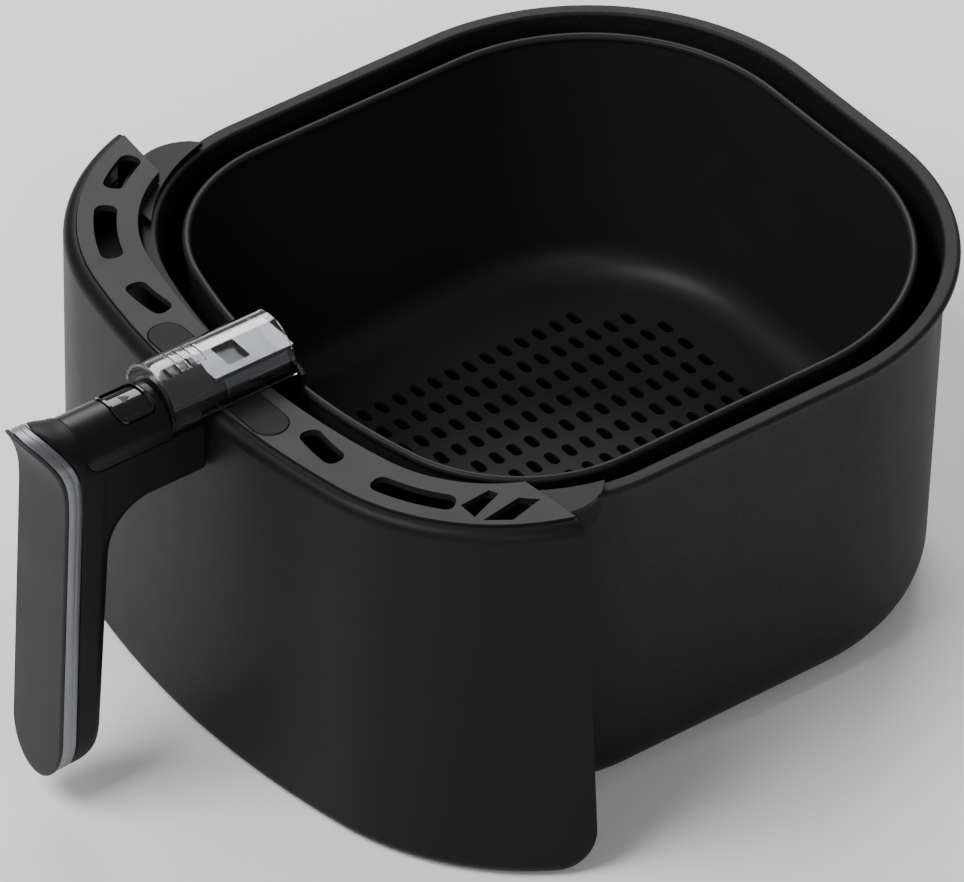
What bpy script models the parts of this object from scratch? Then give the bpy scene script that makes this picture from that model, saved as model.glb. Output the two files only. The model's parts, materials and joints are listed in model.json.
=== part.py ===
"""Pull-out drawer of an air fryer: pan, front panel with vent deck, and a lift-out basket with its handle.

Metres, +Z up. The origin is the middle of the pan's flat underside, the handle points to -Y.
Heights written as "above the rim" are measured from the basket's rim ridge, at RIM_Z.
Run it in Blender: blender --background --python part.py
"""

import math

import bmesh
import bpy

# Basket and pan: one bowed, rounded outline, offset outwards and lofted over a list of heights
RIM_Z = 0.138  # basket rim above the table
HALF_WIDTH = 0.1053  # basket rim, from the middle to either side
BACK_Y = 0.1146  # basket rim, from the middle to the straight back
FRONT_Y = 0.1146  # basket rim, from the middle to the crown of the bowed front
BACK_CORNER_R = 0.0788
FRONT_CORNER_R = 0.0584
FRONT_BOW_R = 0.239
BASKET_DEPTH = 0.100  # rim ridge down to the perforated floor
BASKET_WALL = 0.0011
BASKET_TAPER = 0.0045
BASKET_FLOOR_R = 0.013
RIM_ROLL = 0.0015  # half width of the rolled bead on the basket's rim
PAN_WALL = 0.0012
PAN_GAP = 0.0100  # from the basket's rim ridge out to the pan's inner wall
PAN_TAPER = 0.0035
PAN_FLOOR_R = 0.018
FLANGE_REACH = 0.0160  # from the basket's rim ridge out to the pan flange's edge
FLANGE_RISE = 0.0014  # pan flange above the basket's rim ridge
DIMPLE_R = 0.007
DIMPLE_PROUD = 0.0016

# Perforated floor
HOLE_LENGTH = 0.0072
HOLE_WIDTH = 0.0040
HOLE_PITCH_X = 0.0117
HOLE_PITCH_Y = 0.0077
FLOOR_MARGIN = 0.017  # from the floor's flat edge in to the outermost hole's end

# Front panel, a curved shell in front of the pan
PANEL_REACH = HALF_WIDTH + 0.0328
PANEL_FRONT = -(FRONT_Y + 0.0404)
PANEL_END_Y = -(FRONT_Y - 0.0256)
PANEL_CORNER_R = 0.0848
PANEL_BOW_R = 0.347
PANEL_FLARE = 0.0140  # how much wider each side is at the bottom
PANEL_THICK = 0.0030
PANEL_TOP = 0.0080  # above the rim
PANEL_FOOT = 0.0008  # above the table
PANEL_TOP_R = 0.0045
PANEL_FOOT_R = 0.0045
PANEL_HEEL_R = 0.0140  # lower outer corners, seen from the front

# Vent deck between panel and pan
DECK_TOP = 0.0088
DECK_THICK = 0.0025
DECK_SKIRT = 0.0016
DECK_REACH = HALF_WIDTH + 0.0050
DECK_FRONT = -(FRONT_Y + 0.0157)
DECK_CORNER_R = 0.0552
DECK_BOW_R = 0.279
SLOT_WIDTH = 0.0080
SLOT_CORNER_R = 0.0022
SLOT_INSET = 0.0145
SHORT_SLOT = (0.050, 0.0195)  # distance from the middle line, length
LONG_SLOT_ANGLE = 30.0
LONG_SLOT_LENGTH = 0.030
END_SLOT_ANGLE = 58.0
END_SLOT_LENGTH = 0.0195

# Handle, all heights above the rim
ARM_R = 0.0130
ARM_AXIS = 0.0060
ARM_FLOOR = -0.0165
ARM_SPLIT = 0.0047
ARM_ROOT_Y = PANEL_FRONT - 0.0007
ARM_COVER_FRONT = PANEL_FRONT - 0.0485
ARM_COVER_BACK = PANEL_FRONT - 0.0143
ARM_WALL = 0.0020
GRIP_HALF = ARM_R + 0.0008
GRIP_FRONT = PANEL_FRONT - 0.0590
GRIP_LEAN = 0.058
GRIP_LIP = 0.0085
GRIP_BOTTOM = -0.1245
GRIP_TOE = 0.0185
GRIP_CROWN_AXIS = 0.0090
GRIP_BACK = PANEL_FRONT - 0.0368
GRIP_BACK_LEAN = 0.078
GRIP_BACK_R = 0.0055
THROAT_R = 0.0170
FACE_THICK = 0.0016
FACE_CROWN = 0.0022
TRIM_DEPTH = 0.0056
TRIM_WALL = 0.0024

# Clear guard over the arm
GUARD_WALL = 0.0012
GUARD_R = ARM_R + 0.0003 + GUARD_WALL  # slides over the arm's cover
GUARD_AXIS = 0.0108
GUARD_LEG = 0.0014
GUARD_FRONT = PANEL_FRONT - 0.0140
GUARD_LENGTH = 0.0500
RIB_COUNT = 4
RIB_PITCH = 0.0026

# Release button, latch slider, catch
BUTTON_Y = PANEL_FRONT - 0.0245
BUTTON_SIZE = (0.0146, 0.0120)
BEZEL_RIM = 0.0011
BUTTON_TRAVEL = 0.0025
SLIDER_Z = (0.0100, 0.0125)
SLIDER_X = (-0.0050, -0.0010)
HOOK_Y = PANEL_FRONT + 0.0140
HOOK_STEM = 0.0030
HOOK_BARB = 0.0030
SPRING_WIRE = 0.0003
SPRING_COIL = 0.0019

# Handle seat, the flush pad in the deck that the arm sets down on
SEAT_HALF = 0.0360
SEAT_R = 0.0067
SEAT_Y = PANEL_FRONT + 0.0135
SEAT_TOP = 0.0090
SEAT_THICK = 0.0060
CARRIER_SHELF = (-0.0130, -0.0105)
BOSS_X = 0.0300
BOSS_HALF = 0.0060

HORN_LOW = FLANGE_RISE + 0.0006
END_WALL_INSET = 0.0016  # from the panel's inner skin in to the carrier's end walls
HORN_TOP = HORN_LOW + 0.0018

GAP = 0.0003  # between pieces that touch
SCREW_R = 0.0015
SCREW_HEAD_R = 0.0028
SCREW_HEAD = 0.0016

# Arm core and bracket under the guard
CORE_R = GUARD_R - GUARD_WALL - 0.0017
CORE_AXIS = 0.0095
CORE_BACK = PANEL_FRONT + 0.0360
CORE_STEP = PANEL_FRONT - 0.0013
CORE_UNDER = SEAT_TOP + 0.0004
STRAP_HALF = 0.0090
STRAP_Z = 0.0164
STRAP_THICK = 0.0015
STRAP_LENGTH = 0.0300
TAB_HALF = 0.0155
TAB_DEPTH = 0.0280
TAB_SHOULDER = 0.0100

FINISHES = {
    "pan_coating": ((0.028, 0.028, 0.030), 0.55, 0.0),
    "nonstick": ((0.012, 0.012, 0.013), 0.25, 0.0),
    "black_abs": ((0.010, 0.010, 0.011), 0.40, 0.0),
    "deck_grey": ((0.045, 0.045, 0.047), 0.50, 0.0),
    "face_grey": ((0.040, 0.040, 0.042), 0.45, 0.0),
    "trim_silver": ((0.32, 0.32, 0.33), 0.35, 0.9),
    "gloss_black": ((0.006, 0.006, 0.007), 0.10, 0.0),
    "steel": ((0.60, 0.60, 0.61), 0.25, 1.0),
    "clear": ((0.92, 0.94, 0.95), 0.03, 0.0),
    "core_grey": ((0.10, 0.10, 0.105), 0.45, 0.0),
}


def clear_scene():
    """Empty the scene of objects."""
    for item in list(bpy.data.objects):
        bpy.data.objects.remove(item, do_unlink=True)


def finish_material(name):
    """The shared Principled material of one finish."""
    known = bpy.data.materials.get(name)
    if known:
        return known
    colour, roughness, metallic = FINISHES[name]
    material = bpy.data.materials.new(name)
    material.use_nodes = True
    shader = material.node_tree.nodes["Principled BSDF"]
    shader.inputs["Base Color"].default_value = (*colour, 1.0)
    shader.inputs["Roughness"].default_value = roughness
    shader.inputs["Metallic"].default_value = metallic
    return material


def add_object(name, bm, finish, smooth=35.0, origin=(0.0, 0.0, 0.0)):
    """Link a bmesh as an object whose origin is at the given point."""
    bmesh.ops.recalc_face_normals(bm, faces=bm.faces)
    bmesh.ops.translate(bm, vec=[-c for c in origin], verts=bm.verts)
    mesh = bpy.data.meshes.new(name)
    bm.to_mesh(mesh)
    bm.free()
    item = bpy.data.objects.new(name, mesh)
    item.location = origin
    bpy.context.scene.collection.objects.link(item)
    if finish:
        mesh.materials.append(finish_material(finish))
        mesh.shade_smooth()
        mesh.set_sharp_from_angle(angle=math.radians(smooth))
    return item


def tool(name, bm):
    """A cutter or joiner: wire, never rendered."""
    item = add_object(name, bm, None)
    item.hide_render = True
    item.display_type = "WIRE"
    return item


def combine(target, operation, *tools):
    """Add one exact Boolean per tool."""
    for piece in tools:
        modifier = target.modifiers.new(piece.name, "BOOLEAN")
        modifier.operation = operation
        modifier.object = piece
        modifier.solver = "EXACT"


def cut(target, *tools):
    combine(target, "DIFFERENCE", *tools)


def join(target, *tools):
    combine(target, "UNION", *tools)


def bevel(target, width, segments=2, angle=40.0):
    """Round the sharp edges of a piece."""
    modifier = target.modifiers.new("edge_round", "BEVEL")
    modifier.width = width
    modifier.segments = segments
    modifier.limit_method = "ANGLE"
    modifier.angle_limit = math.radians(angle)


def arc(cx, cy, radius, start, end, steps):
    """Points on an arc, both ends included, angles in radians."""
    turn = (end - start) / steps
    return [
        (cx + radius * math.cos(start + turn * i), cy + radius * math.sin(start + turn * i))
        for i in range(steps + 1)
    ]


def loft(loops):
    """A closed solid through loops that all have the same number of points."""
    bm = bmesh.new()
    rings = [[bm.verts.new(p) for p in loop] for loop in loops]
    count = len(rings[0])
    for low, high in zip(rings, rings[1:]):
        for i in range(count):
            j = (i + 1) % count
            bm.faces.new((low[i], low[j], high[j], high[i]))
    bm.faces.new(rings[0])
    bm.faces.new(rings[-1])
    return bm


def prism_z(points, low, high):
    """An upright prism over plan points (x, y)."""
    return loft([[(x, y, z) for x, y in points] for z in (low, high)])


def prism_x(points, low, high):
    """A prism along X over side points (y, z)."""
    return loft([[(x, y, z) for y, z in points] for x in (low, high)])


def prism_y(points, low, high):
    """A prism along Y over front points (x, z)."""
    return loft([[(x, y, z) for x, z in points] for y in (low, high)])


def block(x, y, z):
    """A box between the (low, high) pairs of its three axes."""
    return prism_z([(x[0], y[0]), (x[1], y[0]), (x[1], y[1]), (x[0], y[1])], *z)


def rod(axis, centre, radius, low, high, sides=12):
    """A round rod along axis X, Y or Z through the two other coordinates."""
    points = arc(centre[0], centre[1], radius, 0.0, math.tau, sides)[:-1]
    return {"x": prism_x, "y": prism_y, "z": prism_z}[axis](points, low, high)


def above_rim(height):
    return RIM_Z + height


# ---------------------------------------------------------------- outlines


def bow_corner(half_width, front, corner_r, bow_r):
    """Centre of the corner arc that is tangent to a side at half_width and to the bowed front."""
    cx = half_width - corner_r
    cy = front + bow_r - math.sqrt((bow_r - corner_r) ** 2 - cx**2)
    return cx, cy, math.asin(cx / (bow_r - corner_r))


def vessel_outline(offset, corner_steps=8, bow_steps=6):
    """The closed outline of basket and pan, moved outwards by offset."""
    cx, cy, turn = bow_corner(HALF_WIDTH, -FRONT_Y, FRONT_CORNER_R, FRONT_BOW_R)
    bow_y = FRONT_BOW_R - FRONT_Y
    down = -math.pi / 2
    bx = HALF_WIDTH - BACK_CORNER_R
    by = BACK_Y - BACK_CORNER_R
    front = arc(0.0, bow_y, FRONT_BOW_R + offset, down - turn, down + turn, bow_steps)
    right = arc(cx, cy, FRONT_CORNER_R + offset, down + turn, 0.0, corner_steps)
    back_right = arc(bx, by, BACK_CORNER_R + offset, 0.0, math.pi / 2, corner_steps)
    back_left = [(-x, y) for x, y in reversed(back_right)]
    left = [(-x, y) for x, y in reversed(right)]
    return front + right[1:] + back_right + back_left + left[:-1]


def vessel_loop(offset, z):
    return [(x, y, z) for x, y in vessel_outline(offset)]


def bowed_line(reach, front, corner_r, bow_r, end_y, inset, bow_steps=8, shares=None):
    """An open line from the left end round the bowed front to the right end, moved inwards."""
    cx, cy, turn = bow_corner(reach, front, corner_r, bow_r)
    down = -math.pi / 2
    end = math.asin((end_y - cy) / (corner_r - inset))
    start = down + turn
    bow = arc(0.0, front + bow_r, bow_r - inset, down, start, bow_steps)
    right = list(bow)
    for share in shares or [i / 10 for i in range(1, 11)]:
        angle = start + (end - start) * share
        radius = corner_r - inset
        right.append((cx + radius * math.cos(angle), cy + radius * math.sin(angle)))
    return [(-x, y) for x, y in reversed(right)] + right[1:]


def panel_line(drop, inset):
    """The panel's outline; drop runs from 0 at its top to 1 at its foot."""
    flare = PANEL_FLARE * drop
    reach = PANEL_REACH + flare
    shares = [i * 0.12 for i in range(1, 8)] + [0.88, 0.92, 0.95, 0.97, 0.99, 1.0]
    corner_r = PANEL_CORNER_R + flare
    return bowed_line(reach, PANEL_FRONT, corner_r, PANEL_BOW_R, PANEL_END_Y, inset, 8, shares)


def deck_inner_line(inset, end_y):
    return bowed_line(DECK_REACH, DECK_FRONT, DECK_CORNER_R, DECK_BOW_R, end_y, inset)


# ---------------------------------------------------------------- pan side


def pan_shell():
    """Drawn steel pan with a tapering wall, a big bottom radius and a rolled flange."""
    out_top = PAN_GAP + PAN_WALL
    out_low = out_top - PAN_TAPER
    lip = above_rim(FLANGE_RISE)
    roll = (FLANGE_REACH - out_top) / 2
    quarter = math.pi / 2
    profile = []
    for i in range(6):
        a = quarter * i / 5
        drop = PAN_FLOOR_R * (1 - math.cos(a))
        profile.append((out_low - PAN_FLOOR_R * (1 - math.sin(a)), drop))
    profile.append((out_top, lip - 2.2 * roll))
    for i in range(5):
        a = math.pi * i / 4
        profile.append((out_top + roll - roll * math.cos(a), lip - roll + roll * math.sin(a) * 1.0))
    profile[7:] = [(FLANGE_REACH, lip - 1.6 * roll), (FLANGE_REACH, lip - 0.8 * roll)]
    profile += [(FLANGE_REACH - roll * 0.5, lip), (PAN_GAP + roll * 0.9, lip)]
    profile += [(PAN_GAP, lip - roll)]
    in_low = out_low - PAN_WALL
    inner_r = PAN_FLOOR_R - PAN_WALL
    for i in range(6):
        a = quarter * (5 - i) / 5
        rise = PAN_WALL + inner_r * (1 - math.cos(a))
        profile.append((in_low - inner_r * (1 - math.sin(a)), rise))
    shell = add_object("pan_shell", loft([vessel_loop(o, z) for o, z in profile]), "pan_coating")
    join(shell, *[pan_dimple(side) for side in (-1, 1)])
    return shell


def pan_dimple(side):
    """A round bump pressed inwards in a back corner of the pan, which keeps the basket centred."""
    reach = BACK_CORNER_R + PAN_GAP + PAN_WALL / 2
    angle = math.radians(40.0)
    bx = HALF_WIDTH - BACK_CORNER_R
    by = BACK_Y - BACK_CORNER_R
    bm = bmesh.new()
    bmesh.ops.create_uvsphere(bm, u_segments=10, v_segments=6, radius=DIMPLE_R)
    bmesh.ops.scale(bm, vec=(1.0, DIMPLE_PROUD / DIMPLE_R * 1.4, 1.0), verts=bm.verts)
    turned = math.pi / 2 + angle
    rotation = [[math.cos(turned), -math.sin(turned), 0.0], [math.sin(turned), math.cos(turned), 0.0]]
    for vert in bm.verts:
        x, y = vert.co.x, vert.co.y
        vert.co.x = side * (bx + reach * math.cos(angle) + rotation[0][0] * x + rotation[0][1] * y)
        vert.co.y = by + reach * math.sin(angle) + rotation[1][0] * x + rotation[1][1] * y
        vert.co.z += above_rim(-0.016)
    return tool(f"dimple_tool_{side}", bm)


def panel_shell_mesh():
    """The curved panel as two grids, outer and inner, joined round their edges."""
    top = above_rim(PANEL_TOP)
    foot = PANEL_FOOT
    reference = panel_line(1.0, 0.0)
    lengths = [0.0]
    for a, b in zip(reference, reference[1:]):
        lengths.append(lengths[-1] + math.dist(a, b))
    sides = {"outer": [], "inner": []}
    quarter = math.pi / 2
    steps = 4
    for name, inner in (("outer", 0.0), ("inner", PANEL_THICK)):
        rows = []
        for i in range(steps + 1):
            a = quarter * i / steps
            r = PANEL_TOP_R - inner
            rows.append(("top", PANEL_TOP_R - r * math.sin(a), r * math.cos(a)))
        rows.append(("middle", inner, 0.5))
        for i in range(steps + 1):
            a = quarter * i / steps
            r = PANEL_FOOT_R - inner
            rows.append(("foot", PANEL_FOOT_R - r * math.cos(a), r * math.sin(a)))
        for kind, inset, share in rows:
            row = []
            for j, length in enumerate(lengths):
                near = min(length, lengths[-1] - length)
                lift = 0.0
                if near < PANEL_HEEL_R:
                    lift = PANEL_HEEL_R - math.sqrt(PANEL_HEEL_R**2 - (PANEL_HEEL_R - near) ** 2)
                low = foot + lift + PANEL_FOOT_R
                high = top - PANEL_TOP_R
                z = {"top": high + share, "middle": low + (high - low) * share, "foot": low - share}[kind]
                drop = (top - z) / (top - foot)
                x, y = panel_line(drop, inset)[j]
                row.append((x, y, z))
            sides[name].append(row)
    return grid_shell(sides["outer"], sides["inner"])


def grid_shell(outer, inner):
    """A closed shell from two grids with the same rows and columns."""
    bm = bmesh.new()
    faces = []
    grids = [[[bm.verts.new(p) for p in row] for row in grid] for grid in (outer, inner)]
    rows, columns = len(outer), len(outer[0])
    for grid in grids:
        for i in range(rows - 1):
            for j in range(columns - 1):
                faces.append((grid[i][j], grid[i][j + 1], grid[i + 1][j + 1], grid[i + 1][j]))
    first, second = grids
    for j in range(columns - 1):
        for i in (0, rows - 1):
            faces.append((first[i][j], first[i][j + 1], second[i][j + 1], second[i][j]))
    for i in range(rows - 1):
        for j in (0, columns - 1):
            faces.append((first[i][j], first[i + 1][j], second[i + 1][j], second[i][j]))
    for face in faces:
        bm.faces.new(face)
    return bm


def front_panel():
    return add_object("front_panel", panel_shell_mesh(), "black_abs")


def crescent(outer, inner):
    """A closed crescent between two open lines that both run from left to right."""
    return outer + list(reversed(inner))


def arc_slot(centre, radius, middle, length, width):
    """A slot with rounded corners bent round centre; middle is its angle from -Y in degrees."""
    mid = math.radians(middle) - math.pi / 2
    r = SLOT_CORNER_R
    along, across = length / 2 - r, width / 2 - r
    points = []
    for quarter, (u, v) in enumerate(((along, across), (-along, across), (-along, -across), (along, -across))):
        points += arc(u, v, r, quarter * math.pi / 2, (quarter + 1) * math.pi / 2, 3)
        if quarter in (0, 2):
            points += [(u * share, math.copysign(width / 2, v)) for share in (0.5, 0.0, -0.5)]
    turned = []
    for u, v in points:
        angle, reach = mid + u / radius, radius + v
        turned.append((centre[0] + reach * math.cos(angle), centre[1] + reach * math.sin(angle)))
    return turned


def stadium(half, radius, cy, steps=8):
    """A stadium along X, centred on the middle line."""
    right = arc(half - radius, cy, radius, -math.pi / 2, math.pi / 2, steps)
    return right + [(-x, y) for x, y in reversed(right)]


def vent_deck():
    """The crescent trim over the gap between panel and pan, with its air slots and seat opening."""
    low, top = above_rim(DECK_TOP - DECK_THICK), above_rim(DECK_TOP)
    end_y = PANEL_END_Y - 0.0024
    outer = panel_line(0.0, PANEL_TOP_R + GAP)
    inner = deck_inner_line(0.0, end_y)
    deck = add_object("vent_deck", prism_z(crescent(outer, inner), low, top), "deck_grey")
    skirt = crescent(deck_inner_line(-DECK_SKIRT, end_y), deck_inner_line(0.0, end_y))
    join(deck, tool("skirt_tool", prism_z(skirt, above_rim(HORN_TOP) + 2 * GAP, (low + top) / 2)))
    bevel(deck, 0.0005, 1)
    reach, high = 0.001, top + 0.001
    cx, cy, _ = bow_corner(PANEL_REACH, PANEL_FRONT, PANEL_CORNER_R, PANEL_BOW_R)
    radius = PANEL_CORNER_R - SLOT_INSET
    cutters = [tool("seat_hole", prism_z(stadium(SEAT_HALF + GAP, SEAT_R + GAP, SEAT_Y), low - reach, high))]
    for side in (-1, 1):
        centre = (side * cx, cy)
        x, length = SHORT_SLOT
        slots = [
            (side * math.degrees(math.asin((x - cx) / radius)), length),
            (side * LONG_SLOT_ANGLE, LONG_SLOT_LENGTH),
        ]
        if side < 0:
            slots.append((side * END_SLOT_ANGLE, END_SLOT_LENGTH))
        for i, (angle, slot_length) in enumerate(slots):
            points = arc_slot(centre, radius, angle, slot_length, SLOT_WIDTH)
            cutters.append(tool(f"slot_{side}_{i}", prism_z(points, low - reach, high)))
    for i, points in enumerate(end_pockets()):
        cutters.append(tool(f"pocket_{i}", prism_z(points, above_rim(-0.002), high)))
    cut(deck, *cutters)
    return deck


def end_pockets():
    """The two slanted openings at the right end, either side of a slanted rib."""
    edge, end = PANEL_REACH - 0.0013, PANEL_END_Y
    first = [
        (edge - 0.0344, end - 0.0270),
        (edge - 0.0267, end - 0.0270),
        (edge - 0.0318, end - 0.0133),
        (edge - 0.0352, end - 0.0148),
    ]
    second = [
        (edge - 0.0238, end - 0.0258),
        (edge - 0.0180, end - 0.0176),
        (edge - 0.0212, end - 0.0039),
        (edge - 0.0262, end - 0.0094),
    ]
    return first, second


def panel_side(y, inset):
    """X of the panel's side at its top, at a Y near its ends."""
    cx, cy, _ = bow_corner(PANEL_REACH, PANEL_FRONT, PANEL_CORNER_R, PANEL_BOW_R)
    return cx + math.sqrt((PANEL_CORNER_R - inset) ** 2 - (y - cy) ** 2)


def horn(side):
    """Joiners for the carrier's end: an end wall, a horn over the pan's flange, and a flap outside it."""
    cx, cy, _ = bow_corner(HALF_WIDTH, -FRONT_Y, FRONT_CORNER_R, FRONT_BOW_R)
    inner_r = FRONT_CORNER_R + PAN_GAP + 0.0019
    flap_r = FRONT_CORNER_R + FLANGE_REACH + 0.0010
    front = PANEL_END_Y - 0.0170
    tip = -(FRONT_Y - 0.0486)

    def angle(y, radius):
        return math.asin((y - cy) / radius)

    inner = arc(cx, cy, inner_r, angle(front, inner_r), angle(tip, inner_r), 12)
    outer_r = inner_r + 0.0130
    start, end = angle(PANEL_END_Y - 0.0010, outer_r), angle(tip, inner_r)
    outer = arc(cx, cy, outer_r, angle(front, outer_r), start, 4)
    for i in range(1, 9):
        share = i / 9
        r = inner_r + 0.0012 + (outer_r - inner_r - 0.0012) * (1 - share**2.2)
        a = start + (end - start) * share
        outer.append((cx + r * math.cos(a), cy + r * math.sin(a)))
    low, high = above_rim(HORN_LOW), above_rim(HORN_TOP)
    plate = [(side * x, y) for x, y in outer + list(reversed(inner))]
    shelf = above_rim(CARRIER_SHELF[0] + 0.0006)
    begin, finish = angle(PANEL_END_Y - 0.0040, flap_r), angle(tip - 0.0050, flap_r)
    round_r = 0.0120
    length = (finish - begin) * flap_r
    loops = []
    for i in range(9):
        left = length * (1 - math.sin(math.pi / 2 * i / 8))
        lift = round_r - math.sqrt(max(0.0, round_r**2 - max(0.0, round_r - left) ** 2))
        a = finish - left / flap_r
        z_low = min(shelf + lift, (low + high) / 2 - 0.0005)
        near, far = flap_r, flap_r + 0.0016
        spots = ((near, z_low), (far, z_low), (far, (low + high) / 2), (near, (low + high) / 2))
        loops.append([(side * (cx + r * math.cos(a)), cy + r * math.sin(a), z) for r, z in spots])
    deck_under = above_rim(DECK_TOP - DECK_THICK) - 2 * GAP
    edge = panel_side(PANEL_END_Y - 0.0040, PANEL_THICK) - END_WALL_INSET
    wall_x = sorted((side * (cx + flap_r - 0.0105), side * edge))
    wall = block(wall_x, (PANEL_END_Y - 0.0040, PANEL_END_Y - 0.0024), (shelf, deck_under))
    return (
        tool(f"horn_flap_{side}", loft(loops)),
        tool(f"horn_plate_{side}", prism_z(plate, low, high)),
        tool(f"horn_wall_{side}", wall),
    )


def handle_seat():
    """Flush pad in the deck with the slot that the latch hook drops through."""
    top = above_rim(SEAT_TOP)
    bm = prism_z(stadium(SEAT_HALF, SEAT_R, SEAT_Y), top - SEAT_THICK, top)
    seat = add_object("handle_seat", bm, "deck_grey")
    x = (SLIDER_X[0] - 0.0012, SLIDER_X[1] + 0.0012)
    y = (HOOK_Y - HOOK_STEM / 2 - HOOK_BARB - 0.0007, HOOK_Y + HOOK_STEM / 2 + BUTTON_TRAVEL + 0.0006)
    cut(seat, tool("seat_slot", block(x, y, (top - 2 * SEAT_THICK, top + 0.001))))
    return seat


def pan_bracket():
    """Steel plate spot-welded to the pan's front wall, which carries the panel."""
    inner, outer = PAN_GAP + PAN_WALL + 0.0004, PAN_GAP + PAN_WALL + 0.0019
    half = BOSS_X + BOSS_HALF
    lines = []
    for offset in (inner, outer):
        radius = FRONT_BOW_R + offset
        turn = math.asin(half / radius)
        lines.append(arc(0.0, FRONT_BOW_R - FRONT_Y, radius, -math.pi / 2 - turn, -math.pi / 2 + turn, 8))
    plate = prism_z(crescent(lines[1], lines[0]), above_rim(-0.058), above_rim(-0.018))
    bracket = add_object("pan_bracket", plate, "steel")
    cut(bracket, *[screw_hole(f"bracket_hole_{i}", "y", *spot) for i, spot in enumerate(panel_screw_spots())])
    return bracket


def panel_screw_spots():
    """(centre, start, tip) of the four screws that hold the carrier to the bracket."""
    front_r = FRONT_BOW_R + PAN_GAP + PAN_WALL
    sag = front_r - math.sqrt(front_r**2 - BOSS_X**2)
    tip = -(FRONT_Y + PAN_GAP + PAN_WALL) + sag - 0.0006
    head = tip - 0.0100
    return [((x, above_rim(z)), head, tip) for x in (-BOSS_X, BOSS_X) for z in (-0.050, -0.026)]


def screw_hole(name, axis, centre, head, tip):
    """A clearance hole for a screw's shank, run past both ends."""
    low, high = min(head, tip), max(head, tip)
    return tool(name, rod(axis, centre, SCREW_R + GAP, low - 0.001, high + 0.003))


def screw(name, axis, centre, head, tip):
    """A pan-head screw from its head's underside to its tip."""
    top = head + (SCREW_HEAD if head > tip else -SCREW_HEAD)
    middle = (head + top) / 2
    shank = rod(axis, centre, SCREW_R, min(middle, tip), max(middle, tip))
    piece = add_object(name, shank, "steel")
    join(piece, tool(name + "_head", rod(axis, centre, SCREW_HEAD_R, min(head, top), max(head, top))))
    return piece


def panel_carrier():
    """Moulded shelf with two bosses and two horns, joining panel, deck and seat to the pan's bracket."""
    end_y = PANEL_END_Y - 0.0010
    drop = (PANEL_TOP - CARRIER_SHELF[0]) / (RIM_Z + PANEL_TOP - PANEL_FOOT)
    outer = panel_line(drop, PANEL_THICK + 2 * GAP)
    outer = [p for p in outer if p[1] < end_y]
    offset = PAN_GAP + PAN_WALL + 2 * GAP
    inner = bowed_line(
        HALF_WIDTH + offset, -FRONT_Y - offset, FRONT_CORNER_R + offset, FRONT_BOW_R + offset, end_y, 0.0
    )
    shelf = prism_z(crescent(outer, inner), above_rim(CARRIER_SHELF[0]), above_rim(CARRIER_SHELF[1]))
    carrier = add_object("panel_carrier", shelf, "black_abs")
    back = -(FRONT_Y + PAN_GAP + PAN_WALL + 0.0025)
    front = PANEL_FRONT + PANEL_THICK + 0.0032
    seat_under = above_rim(SEAT_TOP - SEAT_THICK) - GAP
    for side in (-1, 1):
        x = (side * BOSS_X - BOSS_HALF, side * BOSS_X + BOSS_HALF)
        wall = block(x, (front, back), (above_rim(-0.058), above_rim(CARRIER_SHELF[0] + 0.001)))
        post_x = (side * BOSS_X - BOSS_HALF * 0.7, side * BOSS_X + BOSS_HALF * 0.7)
        post_y = (SEAT_Y - SEAT_R * 0.6, SEAT_Y + SEAT_R * 0.6)
        post = block(post_x, post_y, (above_rim(CARRIER_SHELF[0] + 0.001), seat_under))
        join(carrier, tool(f"boss_{side}", wall), tool(f"post_{side}", post), *horn(side))
    for i, (centre, head, tip) in enumerate(panel_screw_spots()):
        well = rod("y", centre, SCREW_HEAD_R + 2 * GAP, front - 0.001, head + GAP)
        cut(carrier, screw_hole(f"carrier_hole_{i}", "y", centre, head, tip), tool(f"carrier_well_{i}", well))
    cut(carrier, screw_hole("carrier_catch_hole", "z", *catch_screw_spot()))
    return carrier


def catch_screw_spot():
    x = (SLIDER_X[0] + SLIDER_X[1]) / 2
    head = above_rim(CARRIER_SHELF[1] + 0.0012)
    return (x, HOOK_Y + 0.0020), head, head - 0.0060


def catch_leaf():
    """Sprung strip: a foot on the carrier, an upright, and a tip that lies over the hook's barb."""
    thick = 0.0006
    x = (SLIDER_X[0] + SLIDER_X[1]) / 2
    half = 0.0045
    back = HOOK_Y - 0.0092
    foot = above_rim(CARRIER_SHELF[1]) + GAP
    tip_z = above_rim(0.0)
    side = [
        (HOOK_Y + 0.0055, foot),
        (HOOK_Y + 0.0055, foot + thick),
        (back + thick, foot + thick),
        (back + thick, tip_z),
        (HOOK_Y - HOOK_STEM / 2 - 0.0006, tip_z),
        (HOOK_Y - HOOK_STEM / 2 - 0.0006, tip_z + thick),
        (back, tip_z + thick),
        (back, foot),
    ]
    leaf = add_object("catch_leaf", prism_x(side, x - half, x + half), "steel")
    cut(leaf, screw_hole("leaf_hole", "z", *catch_screw_spot()))
    return leaf


# ---------------------------------------------------------------- basket side


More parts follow.
